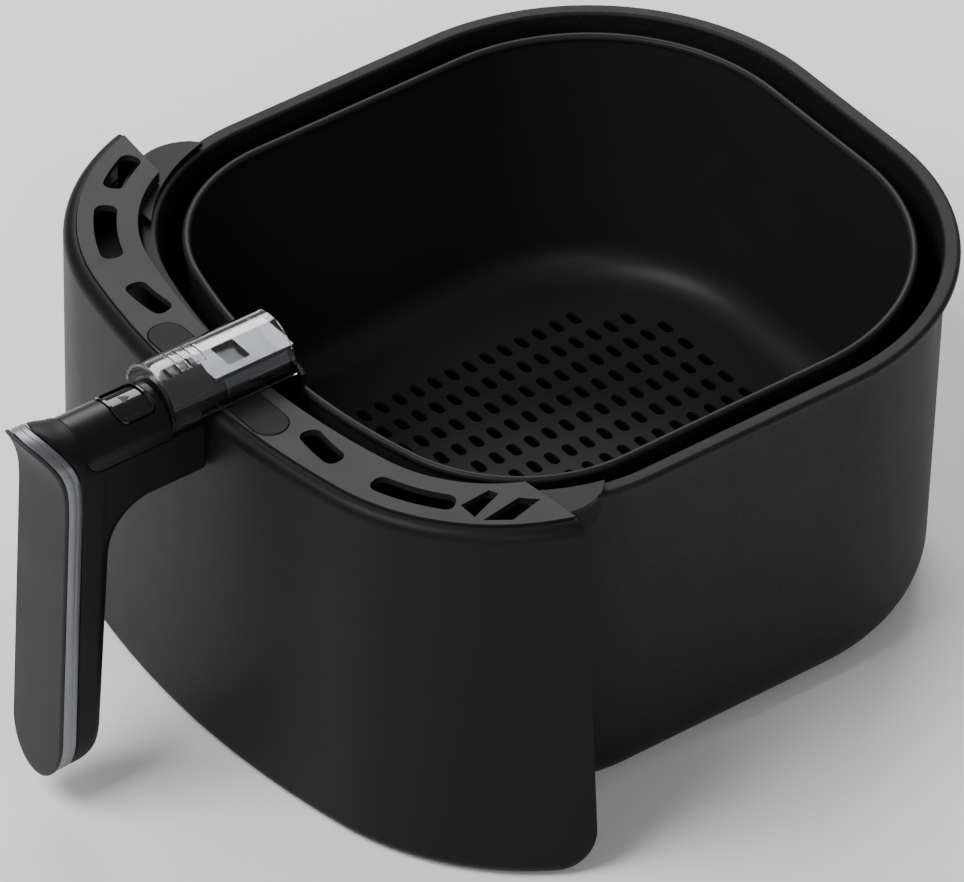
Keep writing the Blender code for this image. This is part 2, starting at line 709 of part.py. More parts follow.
def basket_shell():
    """Drawn steel basket with a rolled rim, a large floor radius and rows of oblong holes."""
    top = RIM_Z
    floor = above_rim(-BASKET_DEPTH)
    neck = top - 2 * RIM_ROLL
    in_top, in_low = -RIM_ROLL * 0.6, -RIM_ROLL * 0.6 - BASKET_TAPER
    quarter = math.pi / 2
    outer_r = BASKET_FLOOR_R + BASKET_WALL
    profile = []
    for i in range(6):
        a = quarter * i / 5
        offset = in_low + BASKET_WALL - outer_r * (1 - math.sin(a))
        profile.append((offset, floor - BASKET_WALL + outer_r * (1 - math.cos(a))))
    profile.append((in_top + BASKET_WALL, neck))
    for i in range(6):
        a = math.pi * i / 5
        profile.append((RIM_ROLL * math.cos(a), top - RIM_ROLL + RIM_ROLL * math.sin(a)))
    profile.append((in_top, neck))
    for i in range(6):
        a = quarter * (5 - i) / 5
        offset = in_low - BASKET_FLOOR_R * (1 - math.sin(a))
        profile.append((offset, floor + BASKET_FLOOR_R * (1 - math.cos(a))))
    shell = add_object("basket_shell", loft([vessel_loop(o, z) for o, z in profile]), "nonstick")
    cut(shell, floor_holes(in_low - BASKET_FLOOR_R, floor))
    cut(shell, *[rivet_hole(f"shell_rivet_hole_{side}", side) for side in (-1, 1)])
    return shell


def inside_vessel(x, y, offset):
    """Whether a plan point lies inside the outline moved by offset."""
    x = abs(x)
    cx, cy, _ = bow_corner(HALF_WIDTH, -FRONT_Y, FRONT_CORNER_R, FRONT_BOW_R)
    bx, by = HALF_WIDTH - BACK_CORNER_R, BACK_Y - BACK_CORNER_R
    if x > HALF_WIDTH + offset or y > BACK_Y + offset:
        return False
    if math.hypot(x, y - FRONT_BOW_R + FRONT_Y) > FRONT_BOW_R + offset:
        return False
    if x > bx and y > by and math.hypot(x - bx, y - by) > BACK_CORNER_R + offset:
        return False
    return not (x > cx and y < cy and math.hypot(x - cx, y - cy) > FRONT_CORNER_R + offset)


def floor_holes(flat_offset, floor):
    """One cutter that holds every oblong hole of the floor, in columns either side of the middle."""
    bm = bmesh.new()
    columns = int(HALF_WIDTH / HOLE_PITCH_X) + 1
    rows = int(max(BACK_Y, FRONT_Y) / HOLE_PITCH_Y) + 1
    half, end = HOLE_WIDTH / 2, HOLE_LENGTH / 2
    shape = [(-end, -half), (end, -half), (end, half), (-end, half)]
    limit = flat_offset - FLOOR_MARGIN + HOLE_LENGTH
    for i in range(-columns, columns):
        for j in range(-rows, rows):
            x, y = (i + 0.5) * HOLE_PITCH_X, (j + 0.5) * HOLE_PITCH_Y
            if inside_vessel(abs(x) + end, y, limit) and inside_vessel(x, y + half, limit):
                rings = []
                for z in (floor - 3 * BASKET_WALL, floor + 2 * BASKET_WALL):
                    rings.append([bm.verts.new((x + px, y + py, z)) for px, py in shape])
                low, high = rings
                for k in range(4):
                    bm.faces.new((low[k], low[(k + 1) % 4], high[(k + 1) % 4], high[k]))
                bm.faces.new(low)
                bm.faces.new(high)
    return tool("floor_holes", bm)


def rivet_centre(side):
    return side * 0.0090, above_rim(-0.0140)


def rivet_hole(name, side):
    y = -FRONT_Y
    return tool(name, rod("y", rivet_centre(side), 0.0018 + GAP, y - 0.008, y + 0.006, 10))


def bracket_plane():
    """Inner face of the bracket's tab, just outside the basket's rolled rim."""
    return -(FRONT_Y + RIM_ROLL) - 2 * GAP


def basket_bracket():
    """Folded steel bracket: a tab riveted to the basket and a strap that runs out into the arm."""
    inner = bracket_plane()
    outer = inner - STRAP_THICK
    strap_top = above_rim(STRAP_Z + STRAP_THICK)
    tab = [
        (-TAB_HALF, above_rim(-TAB_DEPTH)),
        (TAB_HALF, above_rim(-TAB_DEPTH)),
        (TAB_HALF, above_rim(TAB_SHOULDER)),
        (STRAP_HALF, above_rim(TAB_SHOULDER + 0.002)),
        (STRAP_HALF, strap_top),
        (-STRAP_HALF, strap_top),
        (-STRAP_HALF, above_rim(TAB_SHOULDER + 0.002)),
        (-TAB_HALF, above_rim(TAB_SHOULDER)),
    ]
    bracket = add_object("basket_bracket", prism_y(tab, outer, inner), "steel")
    x = (-STRAP_HALF, STRAP_HALF)
    strap = block(x, (CORE_BACK - STRAP_LENGTH, (outer + inner) / 2), (above_rim(STRAP_Z), strap_top))
    join(bracket, tool("strap_tool", strap))
    window_y = (CORE_BACK - STRAP_LENGTH + 0.008, CORE_BACK - STRAP_LENGTH + 0.017)
    window = block((-0.0055, 0.0055), window_y, (above_rim(STRAP_Z) - 0.001, strap_top + 0.001))
    cut(bracket, tool("strap_window", window))
    cut(bracket, *[rivet_hole(f"tab_rivet_hole_{side}", side) for side in (-1, 1)])
    return bracket


def bracket_rivet(side):
    """A solid rivet with a low head inside the basket and one outside the bracket."""
    centre = rivet_centre(side)
    wall_front_r = FRONT_BOW_R - RIM_ROLL
    sag = wall_front_r - math.sqrt(wall_front_r**2 - centre[0] ** 2)
    inside = -(FRONT_Y - RIM_ROLL * 0.6 - BASKET_TAPER) + sag + 0.0006
    outside = bracket_plane() - STRAP_THICK - GAP
    index = 1 if side < 0 else 2
    piece = add_object(f"bracket_rivet_{index}", rod("y", centre, 0.0018, outside, inside, 10), "steel")
    for name, low, high in (("in", inside - 0.0001, inside + 0.0010), ("out", outside - 0.0011, outside)):
        head = rod("y", centre, 0.0034, low, high + (0.0 if name == "in" else 0.0002), 10)
        join(piece, tool(f"rivet_{index}_{name}", head))
    return piece


def half_round(radius, axis_z, low_z, steps=14):
    """Front points (x, z) of a half-round section with straight sides down to low_z."""
    crown = arc(0.0, above_rim(axis_z), radius, 0.0, math.pi, steps)
    return [(radius, above_rim(low_z))] + crown + [(-radius, above_rim(low_z))]


def arm_cover():
    """Half-round top of the arm with the opening for the release button."""
    low = ARM_SPLIT + GAP
    outer = prism_y(half_round(ARM_R, ARM_AXIS, low), ARM_COVER_FRONT, ARM_COVER_BACK)
    cover = add_object("arm_cover", outer, "black_abs")
    inner_points = half_round(ARM_R - ARM_WALL, ARM_AXIS, low - 0.001)
    inner = prism_y(inner_points, ARM_COVER_FRONT + ARM_WALL, ARM_COVER_BACK + 0.001)
    half_x = BUTTON_SIZE[0] / 2 + BEZEL_RIM + 2 * GAP
    half_y = BUTTON_SIZE[1] / 2 + BEZEL_RIM + 2 * GAP
    opening = block(
        (-half_x, half_x), (BUTTON_Y - half_y, BUTTON_Y + half_y), (above_rim(ARM_AXIS + 0.004), above_rim(0.03))
    )
    cut(cover, tool("cover_inside", inner), tool("cover_opening", opening))
    return cover


def button_bezel():
    """Raised frame that follows the arm's curve round the button."""
    half_x = BUTTON_SIZE[0] / 2 + BEZEL_RIM + GAP
    half_y = BUTTON_SIZE[1] / 2 + BEZEL_RIM + GAP
    y = (BUTTON_Y - half_y, BUTTON_Y + half_y)
    crown = rod("y", (0.0, above_rim(ARM_AXIS)), ARM_R + 0.0005, *y, 40)
    bezel = add_object("button_bezel", crown, "gloss_black")
    frame = block((-half_x, half_x), y, (above_rim(ARM_AXIS + 0.0075), above_rim(0.03)))
    combine(bezel, "INTERSECT", tool("bezel_block", frame))
    inner_x, inner_y = BUTTON_SIZE[0] / 2 + GAP, BUTTON_SIZE[1] / 2 + GAP
    opening = block(
        (-inner_x, inner_x), (BUTTON_Y - inner_y, BUTTON_Y + inner_y), (above_rim(0.0), above_rim(0.04))
    )
    cut(bezel, tool("bezel_opening", opening))
    return bezel


def release_button():
    """Push button with a crowned top and a slanted leg that drives the latch slider."""
    half_x, half_y = BUTTON_SIZE[0] / 2, BUTTON_SIZE[1] / 2
    y = (BUTTON_Y - half_y, BUTTON_Y + half_y)
    under = above_rim(ARM_AXIS + 0.0092)
    crown = rod("y", (0.0, above_rim(ARM_AXIS)), ARM_R + 0.0002, *y, 40)
    button = add_object("release_button", crown, "gloss_black", origin=(0.0, BUTTON_Y, under))
    cap = block((-half_x, half_x), y, (under, above_rim(0.03)))
    combine(button, "INTERSECT", tool("button_block", cap))
    start = slider_ramp_start()
    clear = GAP * math.sqrt(2.0)
    front = y[0]
    width = 0.0035
    leg = [
        (front, under + 0.001),
        (front, above_rim(SLIDER_Z[0]) + (front - start) + clear),
        (front + width, above_rim(SLIDER_Z[0]) + (front + width - start) + clear),
        (front + width, under + 0.001),
    ]
    join(button, tool("button_leg", prism_x(leg, SLIDER_X[0] + GAP, SLIDER_X[1] - GAP)))
    return button


def slider_ramp_start():
    """Where the slider's 45 degree front face meets its underside."""
    return BUTTON_Y - BUTTON_SIZE[1] / 2 + 0.0007


def latch_slider():
    """Bar that the button's leg pushes backwards; its hook reaches down through the seat."""
    low, high = above_rim(SLIDER_Z[0]), above_rim(SLIDER_Z[1])
    start = slider_ramp_start()
    back = HOOK_Y + HOOK_STEM / 2
    front_of_stem = HOOK_Y - HOOK_STEM / 2
    toe, barb_top = above_rim(-0.0036), above_rim(-0.0006)
    side = [
        (start, low),
        (front_of_stem, low),
        (front_of_stem, barb_top),
        (front_of_stem - HOOK_BARB, barb_top - 0.0004),
        (front_of_stem - HOOK_BARB, barb_top - 0.0012),
        (front_of_stem, toe),
        (back, toe),
        (back, high),
        (start + high - low, high),
    ]
    slider = add_object("latch_slider", prism_x(side, *SLIDER_X), "steel", origin=(0.0, HOOK_Y, low))
    tab_y = (ARM_COVER_BACK - 0.0042, ARM_COVER_BACK - 0.0027)
    tab = block((SLIDER_X[1] - 0.001, 0.0060), tab_y, (low, high))
    join(slider, tool("slider_tab", tab))
    return slider


def coil(name, axis, start, end, centre, turns, finish="steel"):
    """A compression spring as a helical wire, 10 steps a turn and 5 sides round the wire."""
    steps = int(turns * 10)
    bm = bmesh.new()
    rings = []
    for i in range(steps + 1):
        share = i / steps
        a = math.tau * turns * share
        along = start + (end - start) * share
        ring = []
        for k in range(5):
            b = math.tau * k / 5
            r = SPRING_COIL + SPRING_WIRE * math.cos(b)
            u, v = centre[0] + r * math.cos(a), centre[1] + r * math.sin(a)
            w = along + SPRING_WIRE * math.sin(b)
            ring.append(bm.verts.new((u, v, w) if axis == "z" else (u, w, v)))
        rings.append(ring)
    for low, high in zip(rings, rings[1:]):
        for k in range(5):
            bm.faces.new((low[k], low[(k + 1) % 5], high[(k + 1) % 5], high[k]))
    bm.faces.new(rings[0])
    bm.faces.new(rings[-1])
    return add_object(name, bm, finish)


def button_spring():
    under = above_rim(ARM_AXIS + 0.0092)
    low = spring_post_top() + GAP + SPRING_WIRE
    return coil("button_spring", "z", low, under - GAP - SPRING_WIRE, (0.0032, BUTTON_Y), 4)


def spring_post_top():
    return above_rim(ARM_AXIS + 0.0010)


def latch_spring():
    start = ARM_COVER_BACK - 0.0027 + GAP + SPRING_WIRE
    end = CORE_FRONT + LATCH_POCKET - GAP - SPRING_WIRE
    centre = (0.0034, above_rim(SLIDER_Z[0] + 0.0012))
    return coil("latch_spring", "y", start, end, centre, 5)


CORE_FRONT = ARM_COVER_BACK + 0.0012
LATCH_POCKET = 0.0062


def core_section(radius):
    return half_round(radius, CORE_AXIS, ARM_SPLIT + GAP)


def arm_core():
    """Rear half of the arm under the clear guard: it carries strap, slider and guard."""
    bm = prism_y(core_section(CORE_R), CORE_FRONT, CORE_BACK)
    core = add_object("arm_core", bm, "core_grey")
    wide = (-0.02, 0.02)
    under = block(wide, (CORE_STEP, CORE_BACK + 0.001), (above_rim(0.0), above_rim(CORE_UNDER)))
    strap = block(wide, (CORE_BACK - STRAP_LENGTH - GAP, CORE_BACK + 0.001), (above_rim(STRAP_Z) - GAP, above_rim(0.04)))
    x = (SLIDER_X[0] - 0.0005, SLIDER_X[1] + 0.0005)
    channel = block(x, (CORE_FRONT - 0.001, HOOK_Y + 0.0045), (above_rim(ARM_SPLIT), above_rim(SLIDER_Z[1]) + 0.0005))
    pocket_x = (0.0034 - SPRING_COIL - 0.0007, 0.0034 + SPRING_COIL + 0.0007)
    pocket_z = (above_rim(SLIDER_Z[0] - 0.0014), above_rim(SLIDER_Z[1] + 0.0013))
    pocket = block(pocket_x, (CORE_FRONT - 0.001, CORE_FRONT + LATCH_POCKET), pocket_z)
    cut(core, tool("core_under", under), tool("core_strap", strap), tool("core_channel", channel))
    cut(core, tool("core_pocket", pocket))
    for i, spot in enumerate(handle_screw_spots()):
        cut(core, screw_hole(f"core_hole_{i}", "z", *spot))
    return core


def handle_screw_spots():
    y = CORE_STEP - 0.0060
    return [((x, y), above_rim(ARM_FLOOR + 0.0040), above_rim(ARM_SPLIT + 0.0032)) for x in (-0.0076, 0.0076)]


# ---------------------------------------------------------------- grip


def grip_front(height):
    """Front line of the grip: it leans out towards its toe and curls out into a lip at the top."""
    lean = GRIP_LEAN * max(0.0, -0.008 - height)
    lip = GRIP_LIP * (max(0.0, height + 0.002) / 0.022) ** 2
    return GRIP_FRONT - lean - lip


def grip_rows(inset):
    """(height, half width) rows of the grip's outline: an oval toe, straight sides, a round top."""
    rows = []
    half = GRIP_HALF - inset
    toe_z = GRIP_BOTTOM + GRIP_TOE
    for i in range(8):
        a = math.pi / 2 * (0.07 + 0.93 * i / 7)
        rows.append((toe_z - (GRIP_TOE - inset) * math.cos(a), half * math.sin(a)))
    for height in (-0.085, -0.060, -0.035, -0.018, -0.008, -0.002, 0.003):
        rows.append((height, half))
    for i in range(8):
        a = math.pi / 2 * (0.93 * i / 7)
        rows.append((GRIP_CROWN_AXIS + half * math.sin(a), half * math.cos(a)))
    return rows


def slab(rows, front, back, crown=0.0, back_r=0.0):
    """A solid stacked from sections (x across, y from front to back) at each row's height."""
    loops = []
    for height, half in rows:
        yf, yb = front(height), back(height)
        points = []
        for i in range(9):
            x = -half + 2 * half * i / 8
            rise = crown * (1 - (x / half) ** 2) * min(1.0, half / GRIP_HALF)
            points.append((x, yf - rise))
        r = min(back_r, half * 0.95, (yb - yf) * 0.7)
        if r > 0.0:
            points += arc(half - r, yb - r, r, 0.0, math.pi / 2, 4)
            points += arc(-half + r, yb - r, r, math.pi / 2, math.pi, 4)
        else:
            points += [(half, yb), (half / 2, yb), (-half / 2, yb), (-half, yb)]
        loops.append([(x, y, above_rim(height)) for x, y in points])
    return loft(loops)


def grip_face():
    """Crowned front plate of the grip."""
    bm = slab(grip_rows(0.0), grip_front, lambda h: grip_front(h) + FACE_THICK, FACE_CROWN)
    return add_object("grip_face", bm, "face_grey")


def trim_front(height):
    return grip_front(height) + FACE_THICK + GAP


def trim_back(height):
    return trim_front(height) + TRIM_DEPTH


def grip_trim():
    """Bright strip that runs round the grip between its face and its shell."""
    trim = add_object("grip_trim", slab(grip_rows(0.0004), trim_front, trim_back), "trim_silver")
    inside = slab(
        grip_rows(TRIM_WALL), lambda h: trim_front(h) - 0.002, lambda h: trim_back(h) + 0.002
    )
    cut(trim, tool("trim_inside", inside))
    return trim


def grip_back(height):
    """Rear line of the grip: flat behind the lip, leaning out towards the toe below the arm."""
    if height > ARM_SPLIT:
        return ARM_COVER_FRONT - GAP
    lean = GRIP_BACK_LEAN * min(0.0, height)
    toe = GRIP_BOTTOM + GRIP_TOE * 0.7
    round_off = 0.0
    if height < toe:
        round_off = 0.0060 * ((toe - height) / (toe - GRIP_BOTTOM)) ** 2
    return GRIP_BACK + lean - round_off


def handle_body():
    """Grip shell and lower half of the arm in one moulding, hollow behind its face."""
    def front(height):
        return trim_back(height) + GAP

    rows = []
    for height, half in grip_rows(0.0006):
        rows.append((height, half))
        if abs(height - 0.003) < 1e-9:
            rows += [(ARM_SPLIT, half), (ARM_SPLIT + 0.0002, half)]
    grip = slab(rows, front, grip_back, 0.0, GRIP_BACK_R)
    body = add_object("handle_body", grip, "black_abs")
    low = above_rim(ARM_FLOOR)
    high = above_rim(ARM_SPLIT)
    r = 0.0050
    half = ARM_R
    section = [(half, high)] + arc(half - r, low + r, r, 0.0, -math.pi / 2, 5)
    section += arc(-half + r, low + r, r, -math.pi / 2, -math.pi, 5) + [(-half, high)]
    arm_front = ARM_COVER_FRONT - 0.0004
    join(body, tool("arm_block", prism_y(section, arm_front, ARM_ROOT_Y)))
    join(body, tool("throat_block", prism_x(throat_side(), -ARM_R + r * 0.6, ARM_R - r * 0.6)))
    hollow_back = grip_hollow()
    cut(body, hollow_back, tool("arm_hollow", arm_hollow()))
    post = block((0.0005, 0.0060), (BUTTON_Y - 0.0026, BUTTON_Y + 0.0026), (low + 0.001, spring_post_top()))
    join(body, tool("spring_post", post))
    for i, (centre, head, tip) in enumerate(handle_screw_spots()):
        well = rod("z", centre, SCREW_HEAD_R + 2 * GAP, low - 0.002, head + GAP)
        cut(body, tool(f"body_well_{i}", well), screw_hole(f"body_hole_{i}", "z", centre, head, tip))
    return body


def throat_side():
    """Side points of the web that fills the corner between grip and arm with a concave curve."""
    low = above_rim(ARM_FLOOR)
    end = math.pi - math.atan(GRIP_BACK_LEAN)
    cz = low - THROAT_R
    cy = grip_back(cz + THROAT_R * math.sin(end) - RIM_Z) - THROAT_R * math.cos(end) - 0.0002
    curve = arc(cy, cz, THROAT_R, math.pi / 2, end, 10)
    inside = curve[-1][0] - GRIP_BACK_R * 1.2
    return [(inside, low + 0.004), (cy, low + 0.004)] + curve + [(inside, curve[-1][1])]


def grip_hollow():
    """Cutter for the grip's hollow, open to the front where the face plate closes it."""
    wall = 0.0024
    rows = [(h, w) for h, w in grip_rows(0.0006 + wall) if h < 0.001]
    return tool(
        "grip_hollow",
        slab(rows, lambda h: trim_back(h) - 0.002, lambda h: grip_back(min(h, 0.0)) - wall, 0.0, GRIP_BACK_R - wall),
    )


def arm_hollow():
    """Room inside the arm for button, slider and springs, open at the top."""
    half = ARM_R - 0.0030
    y = (ARM_COVER_FRONT + 0.0030, ARM_COVER_BACK - 0.0010)
    return block((-half, half), y, (above_rim(ARM_FLOOR + 0.0040), above_rim(ARM_SPLIT + 0.0100)))


def button_guard():
    """Clear half-tube that slides along the arm to cover the release button."""
    back = GUARD_FRONT + GUARD_LENGTH
    low = GUARD_AXIS - GUARD_LEG
    outer = half_round(GUARD_R, GUARD_AXIS, low, 20)
    inner = half_round(GUARD_R - GUARD_WALL, GUARD_AXIS, low, 20)
    section = outer + list(reversed(inner))
    guard = add_object("button_guard", prism_y(section, GUARD_FRONT, back), "clear", origin=(0.0, back, RIM_Z))
    for i in range(RIB_COUNT):
        y = GUARD_FRONT + 0.0050 + i * RIB_PITCH
        crown = arc(0.0, above_rim(GUARD_AXIS), GUARD_R + 0.0005, 1.15, math.pi - 1.15, 6)
        under = arc(0.0, above_rim(GUARD_AXIS), GUARD_R - GUARD_WALL / 2, math.pi - 1.15, 1.15, 6)
        join(guard, tool(f"guard_rib_{i}", prism_y(crown + under, y, y + 0.0010)))
    return guard


def build():
    """Make every piece of the drawer."""
    clear_scene()
    pan_shell()
    pan_bracket()
    panel_carrier()
    front_panel()
    vent_deck()
    handle_seat()
    catch_leaf()
    screw("catch_screw", "z", *catch_screw_spot())
    for i, spot in enumerate(panel_screw_spots()):
        screw(f"panel_screw_{i + 1}", "y", *spot)
    basket_shell()
    basket_bracket()
    for side in (-1, 1):
        bracket_rivet(side)
    arm_core()
    arm_cover()
    handle_body()
    grip_trim()
    grip_face()
    button_bezel()
    release_button()
    button_spring()
    latch_slider()
    latch_spring()
    button_guard()
    for i, spot in enumerate(handle_screw_spots()):
        screw(f"handle_screw_{i + 1}", "z", *spot)


build()
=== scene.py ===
"""Visual model of an air fryer's pull-out drawer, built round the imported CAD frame.

Each sub-assembly is a class that makes its meshes and dresses them; each finish is a frozen dataclass that
makes one procedural material. Every length is in metres, in the frame's own axes: +Y from the handle to the
back of the pan, +Z up, the origin under the middle of the pan.
"""

from __future__ import annotations

import json
import logging
import math
from collections.abc import Callable, Sequence
from dataclasses import dataclass
from enum import Enum
from typing import Any

import bmesh
import bpy
from mathutils import Matrix, Vector

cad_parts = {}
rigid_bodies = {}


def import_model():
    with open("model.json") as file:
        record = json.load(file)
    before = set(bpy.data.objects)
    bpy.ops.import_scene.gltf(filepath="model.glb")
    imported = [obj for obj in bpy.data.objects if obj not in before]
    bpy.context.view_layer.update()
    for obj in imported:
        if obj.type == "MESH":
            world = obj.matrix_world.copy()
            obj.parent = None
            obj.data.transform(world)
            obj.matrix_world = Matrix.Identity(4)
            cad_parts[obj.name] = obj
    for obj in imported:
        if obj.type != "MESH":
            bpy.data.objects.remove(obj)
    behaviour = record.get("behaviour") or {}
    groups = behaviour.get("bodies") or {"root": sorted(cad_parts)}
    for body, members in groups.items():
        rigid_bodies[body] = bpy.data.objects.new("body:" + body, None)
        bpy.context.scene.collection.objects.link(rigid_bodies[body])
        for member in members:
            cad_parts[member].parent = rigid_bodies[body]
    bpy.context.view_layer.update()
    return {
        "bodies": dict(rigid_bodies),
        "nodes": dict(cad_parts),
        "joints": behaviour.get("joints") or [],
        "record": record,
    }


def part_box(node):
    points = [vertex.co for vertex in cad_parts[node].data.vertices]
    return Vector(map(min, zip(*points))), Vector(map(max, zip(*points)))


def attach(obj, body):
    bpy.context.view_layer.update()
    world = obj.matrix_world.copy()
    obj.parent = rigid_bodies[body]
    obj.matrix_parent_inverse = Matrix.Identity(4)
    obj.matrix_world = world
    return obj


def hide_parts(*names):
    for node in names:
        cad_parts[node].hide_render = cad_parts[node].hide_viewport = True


LOG = logging.getLogger("drawer")
MM = 0.001
GAP = 0.3 * MM
WIDE = 30.0 * MM  # reach of a cutter that passes right through the handle

Point = tuple[float, float, float]
Flat = tuple[float, float]


class Body(Enum):
    """The frame's rigid bodies."""

    PAN = "pan"
    BASKET = "basket"
    BUTTON = "button"
    LATCH = "latch"
    GUARD = "guard"


# ---------------------------------------------------------------- colour and nodes


def linear(hex_colour: str) -> tuple[float, float, float, float]:
    """Turn an sRGB hex colour into a linear RGBA tuple.

    Args:
        hex_colour: six hex digits, such as "3a3a3c".

    Returns:
        Linear red, green, blue and an alpha of one.
    """
    parts = [int(hex_colour[i : i + 2], 16) / 255.0 for i in (0, 2, 4)]
    made = [c / 12.92 if c <= 0.04045 else ((c + 0.055) / 1.055) ** 2.4 for c in parts]
    return (made[0], made[1], made[2], 1.0)


def add_node(
    tree: bpy.types.NodeTree, kind: str, links: dict[str, Any] | None = None, **settings: Any
) -> bpy.types.Node:
    """Add a shader node, set its properties and inputs, and link its inputs.

    Args:
        tree: the material's node tree.
        kind: the node's type name.
        links: input name or index to an output socket, or to a plain value.
        settings: node properties, such as operation="MULTIPLY".

    Returns:
        The new node.
    """
    node = tree.nodes.new(kind)
    for name, value in settings.items():
        setattr(node, name, value)
    for name, value in (links or {}).items():
        socket = node.inputs[name]
        if isinstance(value, bpy.types.NodeSocket):
            tree.links.new(value, socket)
        else:
            socket.default_value = value
    return node


def start_material(name: str) -> tuple[bpy.types.Material, bpy.types.Node]:
    """Make a material with nodes.

    Args:
        name: the material's name in the file.

    Returns:
        The material and its main shader.
    """
    made = bpy.data.materials.new(name)
    made.use_nodes = True
    return made, made.node_tree.nodes["Principled BSDF"]


@dataclass(frozen=True)
class Finish:
    """One real material: its base values, and how its colour, roughness and relief vary.

    Attributes:
        name: the material's name in the file.
        colour: sRGB hex of the body colour.
        roughness: mean roughness.
        slot: the record's material slot.
        metallic: one for bare metal.
        ior: index of refraction, left at 1.5 for metals.
        drift: how far roughness wanders over the surface.
        drift_mm: size of the wander.
        fleck: sRGB hex of the second colour, or an empty string for none.
        fleck_mm: size of the flecks.
        fleck_share: threshold above which a fleck shows.
        relief: bump height in metres.
        relief_mm: size of the relief's cells.
        coat: weight of a clear top layer.
        coat_roughness: roughness of that layer.
        brushed: stretch of the relief along one axis, for drawn or brushed metal.
        specular: specular level; fine texture scatters some of the mirror part away.
    """

    name: str
    colour: str
    roughness: float
    slot: str
    metallic: float = 0.0
    ior: float = 1.5
    drift: float = 0.04
    drift_mm: float = 30.0
    fleck: str = ""
    fleck_mm: float = 0.8
    fleck_share: float = 0.62
    relief: float = 0.01 * MM
    relief_mm: float = 0.6
    coat: float = 0.0
    coat_roughness: float = 0.1
    brushed: float = 0.0
    specular: float = 0.5

    def material(self) -> bpy.types.Material:
        """Make the material once and return it."""
        known = bpy.data.materials.get(self.name)
        if known:
            return known
        made, shader = start_material(self.name)
        tree = made.node_tree
        shader.inputs["Metallic"].default_value = self.metallic
        shader.inputs["IOR"].default_value = self.ior
        shader.inputs["Specular IOR Level"].default_value = self.specular
        shader.inputs["Coat Weight"].default_value = self.coat
        shader.inputs["Coat Roughness"].default_value = self.coat_roughness
        where = add_node(tree, "ShaderNodeTexCoord").outputs["Object"]
        self._colour(tree, shader, where)
        self._roughness(tree, shader, where)
        self._relief(tree, shader, where)
        return made

    def _noise(
        self, tree: bpy.types.NodeTree, where: bpy.types.NodeSocket, size_mm: float, detail: float = 2.0
    ) -> bpy.types.NodeSocket:
        """Noise whose cells are about size_mm across.

        Args:
            tree: the node tree.
            where: coordinates in metres.
            size_mm: size of one cell.
            detail: octaves of finer noise.

        Returns:
            The noise value, from zero to one.
        """
        links = {"Vector": where, "Scale": 1.0 / (size_mm * MM), "Detail": detail}
        return add_node(tree, "ShaderNodeTexNoise", links).outputs["Fac"]

    def _colour(
        self, tree: bpy.types.NodeTree, shader: bpy.types.Node, where: bpy.types.NodeSocket
    ) -> None:
        """Body colour, with flecks and a slight wander of its value."""
        base = linear(self.colour)
        cloud = self._noise(tree, where, self.drift_mm)
        ramp = add_node(tree, "ShaderNodeValToRGB", {"Fac": cloud})
        for stop, factor in zip(ramp.color_ramp.elements, (0.88, 1.12)):
            stop.color = (base[0] * factor, base[1] * factor, base[2] * factor, 1.0)
        colour = ramp.outputs["Color"]
        if self.fleck:
            cells = self._noise(tree, where, self.fleck_mm, 3.0)
            mask = add_node(tree, "ShaderNodeValToRGB", {"Fac": cells})
            mask.color_ramp.elements[0].position = self.fleck_share
            mask.color_ramp.elements[1].position = min(1.0, self.fleck_share + 0.05)
            mix = add_node(tree, "ShaderNodeMix", data_type="RGBA")
            tree.links.new(mask.outputs["Color"], mix.inputs["Factor"])
            tree.links.new(colour, mix.inputs[6])
            mix.inputs[7].default_value = linear(self.fleck)
            colour = mix.outputs[2]
        tree.links.new(colour, shader.inputs["Base Color"])

    def _roughness(
        self, tree: bpy.types.NodeTree, shader: bpy.types.Node, where: bpy.types.NodeSocket
    ) -> None:
        """Roughness that wanders a little, as handled and moulded surfaces do."""
        cloud = self._noise(tree, where, self.drift_mm * 0.4, 4.0)
        low, high = self.roughness - self.drift, self.roughness + self.drift
        wander = add_node(tree, "ShaderNodeMapRange", {"Value": cloud, "To Min": low, "To Max": high})
        tree.links.new(wander.outputs["Result"], shader.inputs["Roughness"])

    def _relief(
        self, tree: bpy.types.NodeTree, shader: bpy.types.Node, where: bpy.types.NodeSocket
    ) -> None:
        """Fine relief: moulding texture, coating orange peel, or brushed lines."""
        if self.brushed:
            stretch = (1.0, 1.0 / self.brushed, 1.0)
            mapped = add_node(tree, "ShaderNodeMapping", {"Vector": where, "Scale": stretch})
            where = mapped.outputs["Vector"]
        grain = self._noise(tree, where, self.relief_mm, 3.0)
        bump = add_node(tree, "ShaderNodeBump", {"Height": grain, "Strength": 1.0, "Distance": self.relief})
        tree.links.new(bump.outputs["Normal"], shader.inputs["Normal"])


@dataclass(frozen=True)
class ClearPolycarbonate:
    """Injection-moulded clear polycarbonate: IOR 1.585, polished, very nearly colourless."""

    name: str = "clear_polycarbonate"
    slot: str = "clear"

    def material(self) -> bpy.types.Material:
        """Make the material once and return it."""
        known = bpy.data.materials.get(self.name)
        if known:
            return known
        made, shader = start_material(self.name)
        tree = made.node_tree
        shader.inputs["Base Color"].default_value = linear("fbfcfd")
        shader.inputs["IOR"].default_value = 1.585
        shader.inputs["Transmission Weight"].default_value = 1.0
        where = add_node(tree, "ShaderNodeTexCoord").outputs["Object"]
        # Flow marks of the moulding: roughness wanders over about 12 mm
        flow = {"Vector": where, "Scale": 1.0 / (12 * MM), "Detail": 2.0}
        cloud = add_node(tree, "ShaderNodeTexNoise", flow)
        value = cloud.outputs["Fac"]
        wander = add_node(tree, "ShaderNodeMapRange", {"Value": value, "To Min": 0.005, "To Max": 0.02})
        tree.links.new(wander.outputs["Result"], shader.inputs["Roughness"])
        return made


